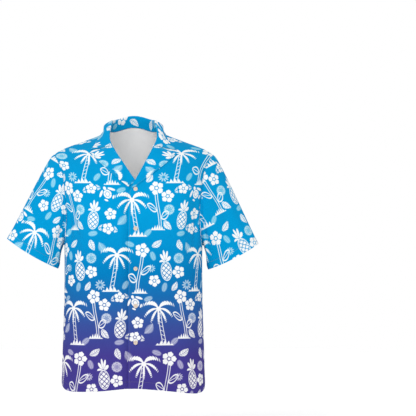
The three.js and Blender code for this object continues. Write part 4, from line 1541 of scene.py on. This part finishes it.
def make_button_thread(nodes):
    place = nodes.add("ShaderNodeTexCoord", {}, {}).outputs["Object"]
    fibre = nodes.noise(nodes.vector("MULTIPLY", place, (5, 5, 1)).outputs[0], 0.0008, 2)
    pale = dimmed(colours().thread)
    shade = nodes.blend(fibre, (*[c * 0.8 for c in pale], 1), (*pale, 1))
    constants = {"Specular IOR Level": 0.2, "Sheen Weight": 0.1}
    varying = {"Base Color": shade, "Roughness": 0.8}
    return nodes.finish(constants, varying, fibre, THREAD_RELIEF)


def make_floor_paper(nodes):
    place = nodes.add("ShaderNodeTexCoord", {}, {}).outputs["Object"]
    grain = nodes.noise(place, 0.01)
    shade = nodes.blend(grain, (0.97, 0.97, 0.97, 1), (0.99, 0.99, 0.99, 1))
    constants = {"Specular IOR Level": 0.1}
    varying = {"Base Color": shade, "Roughness": 0.9}
    return nodes.finish(constants, varying, grain, FLOOR_RELIEF)


def printed_cloth():
    return kept_material("Printed cloth", make_printed_cloth)


def reverse_cloth():
    return kept_material("Cloth reverse", make_reverse_cloth)


class SHIRT_OT_body(bpy.types.Operator):
    """Add the two fronts and the back"""

    bl_idname = "shirt.body"
    bl_label = "Fronts and back"

    def execute(self, context):
        left = front_sheet(LEFT_FRONT, LEFT_FRONT_EDGE, 1).build("left_front", "printed_cloth")
        right = front_sheet(RIGHT_FRONT, RIGHT_FRONT_EDGE, -1).build("right_front", "printed_cloth")
        back = back_sheet().build("back_panel", "printed_cloth")
        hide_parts("front_left")
        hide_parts("front_right")
        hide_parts("back")
        return {"FINISHED"}


class SHIRT_OT_sleeves(bpy.types.Operator):
    """Add the two sleeves"""

    bl_idname = "shirt.sleeves"
    bl_label = "Sleeves"

    def execute(self, context):
        for name, panel in (("left", "left_front"), ("right", "right_front")):
            sleeve = sleeve_sheet(name).build(name + "_sleeve", "sleeve_cloth")
            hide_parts("sleeve_" + name)
        return {"FINISHED"}


class SHIRT_OT_collar(bpy.types.Operator):
    """Add the collar and the two lapels"""

    bl_idname = "shirt.collar"
    bl_label = "Collar and lapels"

    def execute(self, context):
        top = SHOULDER_SEAM[0]["z"]
        low = COLLAR_LEFT[-1]["fold_z"]
        rising = np.linspace(low, top, COLLAR_FRONT_LINES + 1)
        groups = [
            front_lines(RIGHT_FRONT, RIGHT_FRONT_EDGE, COLLAR_RIGHT, rising),
            back_lines(),
            front_lines(LEFT_FRONT, LEFT_FRONT_EDGE, COLLAR_LEFT, rising[::-1]),
        ]
        collar = turned_leaf(groups).build("camp_collar", "collar_cloth", faced=True)
        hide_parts("collar")
        for name, surface, edge, rows in (
            ("left", LEFT_FRONT, LEFT_FRONT_EDGE, LAPEL_LEFT),
            ("right", RIGHT_FRONT, RIGHT_FRONT_EDGE, LAPEL_RIGHT),
        ):
            levels = np.linspace(rows[0]["fold_z"], rows[-1]["fold_z"], LAPEL_LINES + 1)
            lines = front_lines(surface, edge, rows, levels)
            lapel = turned_leaf([lines]).build(name + "_lapel", "collar_cloth", faced=True)
            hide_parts("lapel_" + name)
            name + "_front"
        return {"FINISHED"}


class SHIRT_OT_buttons(bpy.types.Operator):
    """Add the five buttons with their holes and thread"""

    bl_idname = "shirt.buttons"
    bl_label = "Buttons"

    def execute(self, context):
        low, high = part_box("button_1")
        radius = (high[2] - low[2]) / 2
        pattern = model_button(radius, BUTTON_THICKNESS)
        for number in range(1, BUTTON_COUNT + 1):
            node = "button_" + str(number)
            middle, facing = seat_of(node)
            button = pattern.copy()
            button.data = pattern.data.copy()
            button.name = "sewn_button_" + str(number)
            context.collection.objects.link(button)
            turn = Vector((0, 0, 1)).rotation_difference(facing).to_matrix().to_4x4()
            button.data.transform(Matrix.Translation(middle) @ turn)
            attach(button, "root")
            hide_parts(node)
        bpy.data.objects.remove(pattern)
        return {"FINISHED"}


def seat_of(node):
    """The middle of a button's solid and the way that it faces."""
    points = np.array([vertex.co for vertex in bpy.data.objects[node].data.vertices])
    middle = (points.min(axis=0) + points.max(axis=0)) / 2
    _, directions = np.linalg.eigh(np.cov((points - middle).T))
    facing = directions[:, 0]
    return Vector(middle), Vector(-facing if facing[1] > 0 else facing)


def select_faces(piece, wanted):
    """In edit mode, selects just the faces whose normal and middle pass the test."""
    mesh = bmesh.from_edit_mesh(piece.data)
    bpy.ops.mesh.select_all(action="DESELECT")
    bpy.ops.mesh.select_mode(type="FACE")
    for face in mesh.faces:
        face.select = wanted(face.normal, face.calc_center_median())
    mesh.select_flush_mode()
    bmesh.update_edit_mesh(piece.data)


def model_button(radius, thickness):
    """A dished button with a round rim, four holes and thread through them."""
    select_none()
    bpy.ops.mesh.primitive_cylinder_add(vertices=56, radius=radius, depth=thickness)
    button = bpy.context.object
    bpy.ops.object.mode_set(mode="EDIT")
    select_faces(button, lambda normal, middle: abs(normal.z) > 0.9)
    bpy.ops.mesh.bevel(offset=thickness * BUTTON_ROUNDING, segments=4, profile=0.6)
    select_faces(button, lambda normal, middle: normal.z > 0.9 and middle.xy.length < radius / 9)
    for across, down in BUTTON_DISH:
        bpy.ops.mesh.inset(thickness=radius * across, depth=-thickness * down)
    bpy.ops.object.mode_set(mode="OBJECT")
    select_none()
    for x, y in ((-1, -1), (-1, 1), (1, -1), (1, 1)):
        place = (x * HOLE_APART, y * HOLE_APART, 0)
        bpy.ops.mesh.primitive_cylinder_add(
            vertices=16, radius=HOLE_RADIUS, depth=thickness * 3, location=place
        )
        cutter = bpy.context.object
        cut = button.modifiers.new("Hole", "BOOLEAN")
        cut.operation = "DIFFERENCE"
        cut.object = cutter
        select_only(button)
        bpy.ops.object.modifier_apply(modifier=cut.name)
        bpy.data.objects.remove(cutter)
    shade_smooth(button, BUTTON_SMOOTHING)
    button.data.materials.append(kept_material("Button plastic", make_button_plastic))
    loops = [thread_loop(x, strand, thickness) for x in (-1, 1) for strand in (-1, 0, 1)]
    select_only(button)
    for loop in loops:
        loop.select_set(True)
    bpy.ops.object.join()
    button.select_set(False)
    return button


def thread_loop(side, strand, thickness):
    """One strand of thread, in at one hole and out at the other."""
    select_none()
    place = (side * HOLE_APART + strand * THREAD_RADIUS * 1.5, 0, 0)
    bpy.ops.mesh.primitive_torus_add(
        location=place,
        rotation=(0, math.pi / 2, 0),
        major_radius=HOLE_APART,
        minor_radius=THREAD_RADIUS,
        major_segments=28,
        minor_segments=8,
    )
    loop = bpy.context.object
    loop.scale = (thickness * 0.48 / HOLE_APART, 1, 1)
    bpy.ops.object.transform_apply(location=True, rotation=True, scale=True)
    bpy.ops.object.shade_smooth()
    loop.data.materials.append(kept_material("Button thread", make_button_thread))
    return loop


class SHIRT_OT_stage(bpy.types.Operator):
    """Add the floor, the light and the camera"""

    bl_idname = "shirt.stage"
    bl_label = "Stage"

    def execute(self, context):
        scene = context.scene
        camera = bpy.data.objects.new("Camera", bpy.data.cameras.new("Camera"))
        scene.collection.objects.link(camera)
        camera.data.sensor_width = CAMERA_SENSOR
        camera.data.lens = CAMERA_SENSOR * -CAMERA_PLACE[1] / CAMERA_SPAN
        camera.data.clip_end = 60
        camera.location = CAMERA_PLACE
        camera.rotation_euler = (math.pi / 2, 0, 0)
        scene.camera = camera
        world = bpy.data.worlds.new("Studio")
        scene.world = world
        world.use_nodes = True
        world.node_tree.nodes["Background"].inputs["Color"].default_value = (1, 1, 1, 1)
        world.node_tree.nodes["Background"].inputs["Strength"].default_value = WORLD_LIGHT
        for name, place, size, power in LAMPS:
            lamp = bpy.data.lights.new(name, "AREA")
            lamp.shape = "DISK"
            lamp.size = size
            lamp.energy = power
            placed = bpy.data.objects.new(name, lamp)
            scene.collection.objects.link(placed)
            placed.location = place
            aim = LAMPS_AIM - Vector(place)
            placed.rotation_euler = aim.to_track_quat("-Z", "Y").to_euler()
        select_none()
        bpy.ops.mesh.primitive_circle_add(
            vertices=96, radius=FLOOR_RADIUS, fill_type="NGON", location=(0, 0, FLOOR_LEVEL)
        )
        floor = context.object
        floor.name = "studio_floor"
        bpy.ops.object.mode_set(mode="EDIT")
        bpy.ops.mesh.select_all(action="SELECT")
        bpy.ops.mesh.extrude_region_move(TRANSFORM_OT_translate={"value": (0, 0, -FLOOR_THICKNESS)})
        bpy.ops.mesh.select_all(action="SELECT")
        bpy.ops.mesh.normals_make_consistent(inside=False)
        bpy.ops.object.mode_set(mode="OBJECT")
        bpy.ops.object.transform_apply(location=True, rotation=True, scale=True)
        floor.data.materials.append(kept_material("Floor paper", make_floor_paper))
        scene.view_settings.view_transform = "Standard"
        return {"FINISHED"}


class SHIRT_PT_panel(bpy.types.Panel):
    """Lists the shirt's pieces and settings"""

    bl_idname = "SHIRT_PT_panel"
    bl_label = "Shirt"
    bl_space_type = "VIEW_3D"
    bl_region_type = "UI"
    bl_category = "Shirt"

    def draw(self, context):
        for operator in OPERATORS:
            self.layout.operator(operator.bl_idname)
        for settings in (context.scene.shirt_sizes, context.scene.shirt_colours):
            box = self.layout.box()
            for name in settings.bl_rna.properties.keys():
                if name not in ("rna_type", "name"):
                    box.prop(settings, name)


OPERATORS = (SHIRT_OT_body, SHIRT_OT_sleeves, SHIRT_OT_collar, SHIRT_OT_buttons, SHIRT_OT_stage)
CLASSES = (ShirtColours, ShirtSizes, *OPERATORS, SHIRT_PT_panel)


def register():
    for item in CLASSES:
        bpy.utils.register_class(item)
    bpy.types.Scene.shirt_colours = bpy.props.PointerProperty(type=ShirtColours)
    bpy.types.Scene.shirt_sizes = bpy.props.PointerProperty(type=ShirtSizes)


def unregister():
    del bpy.types.Scene.shirt_sizes
    del bpy.types.Scene.shirt_colours
    for item in reversed(CLASSES):
        bpy.utils.unregister_class(item)


def main():
    register()
    bpy.ops.shirt.body()
    bpy.ops.shirt.sleeves()
    bpy.ops.shirt.collar()
    bpy.ops.shirt.buttons()
    bpy.ops.shirt.stage()


if __name__ == "__main__":
    main()
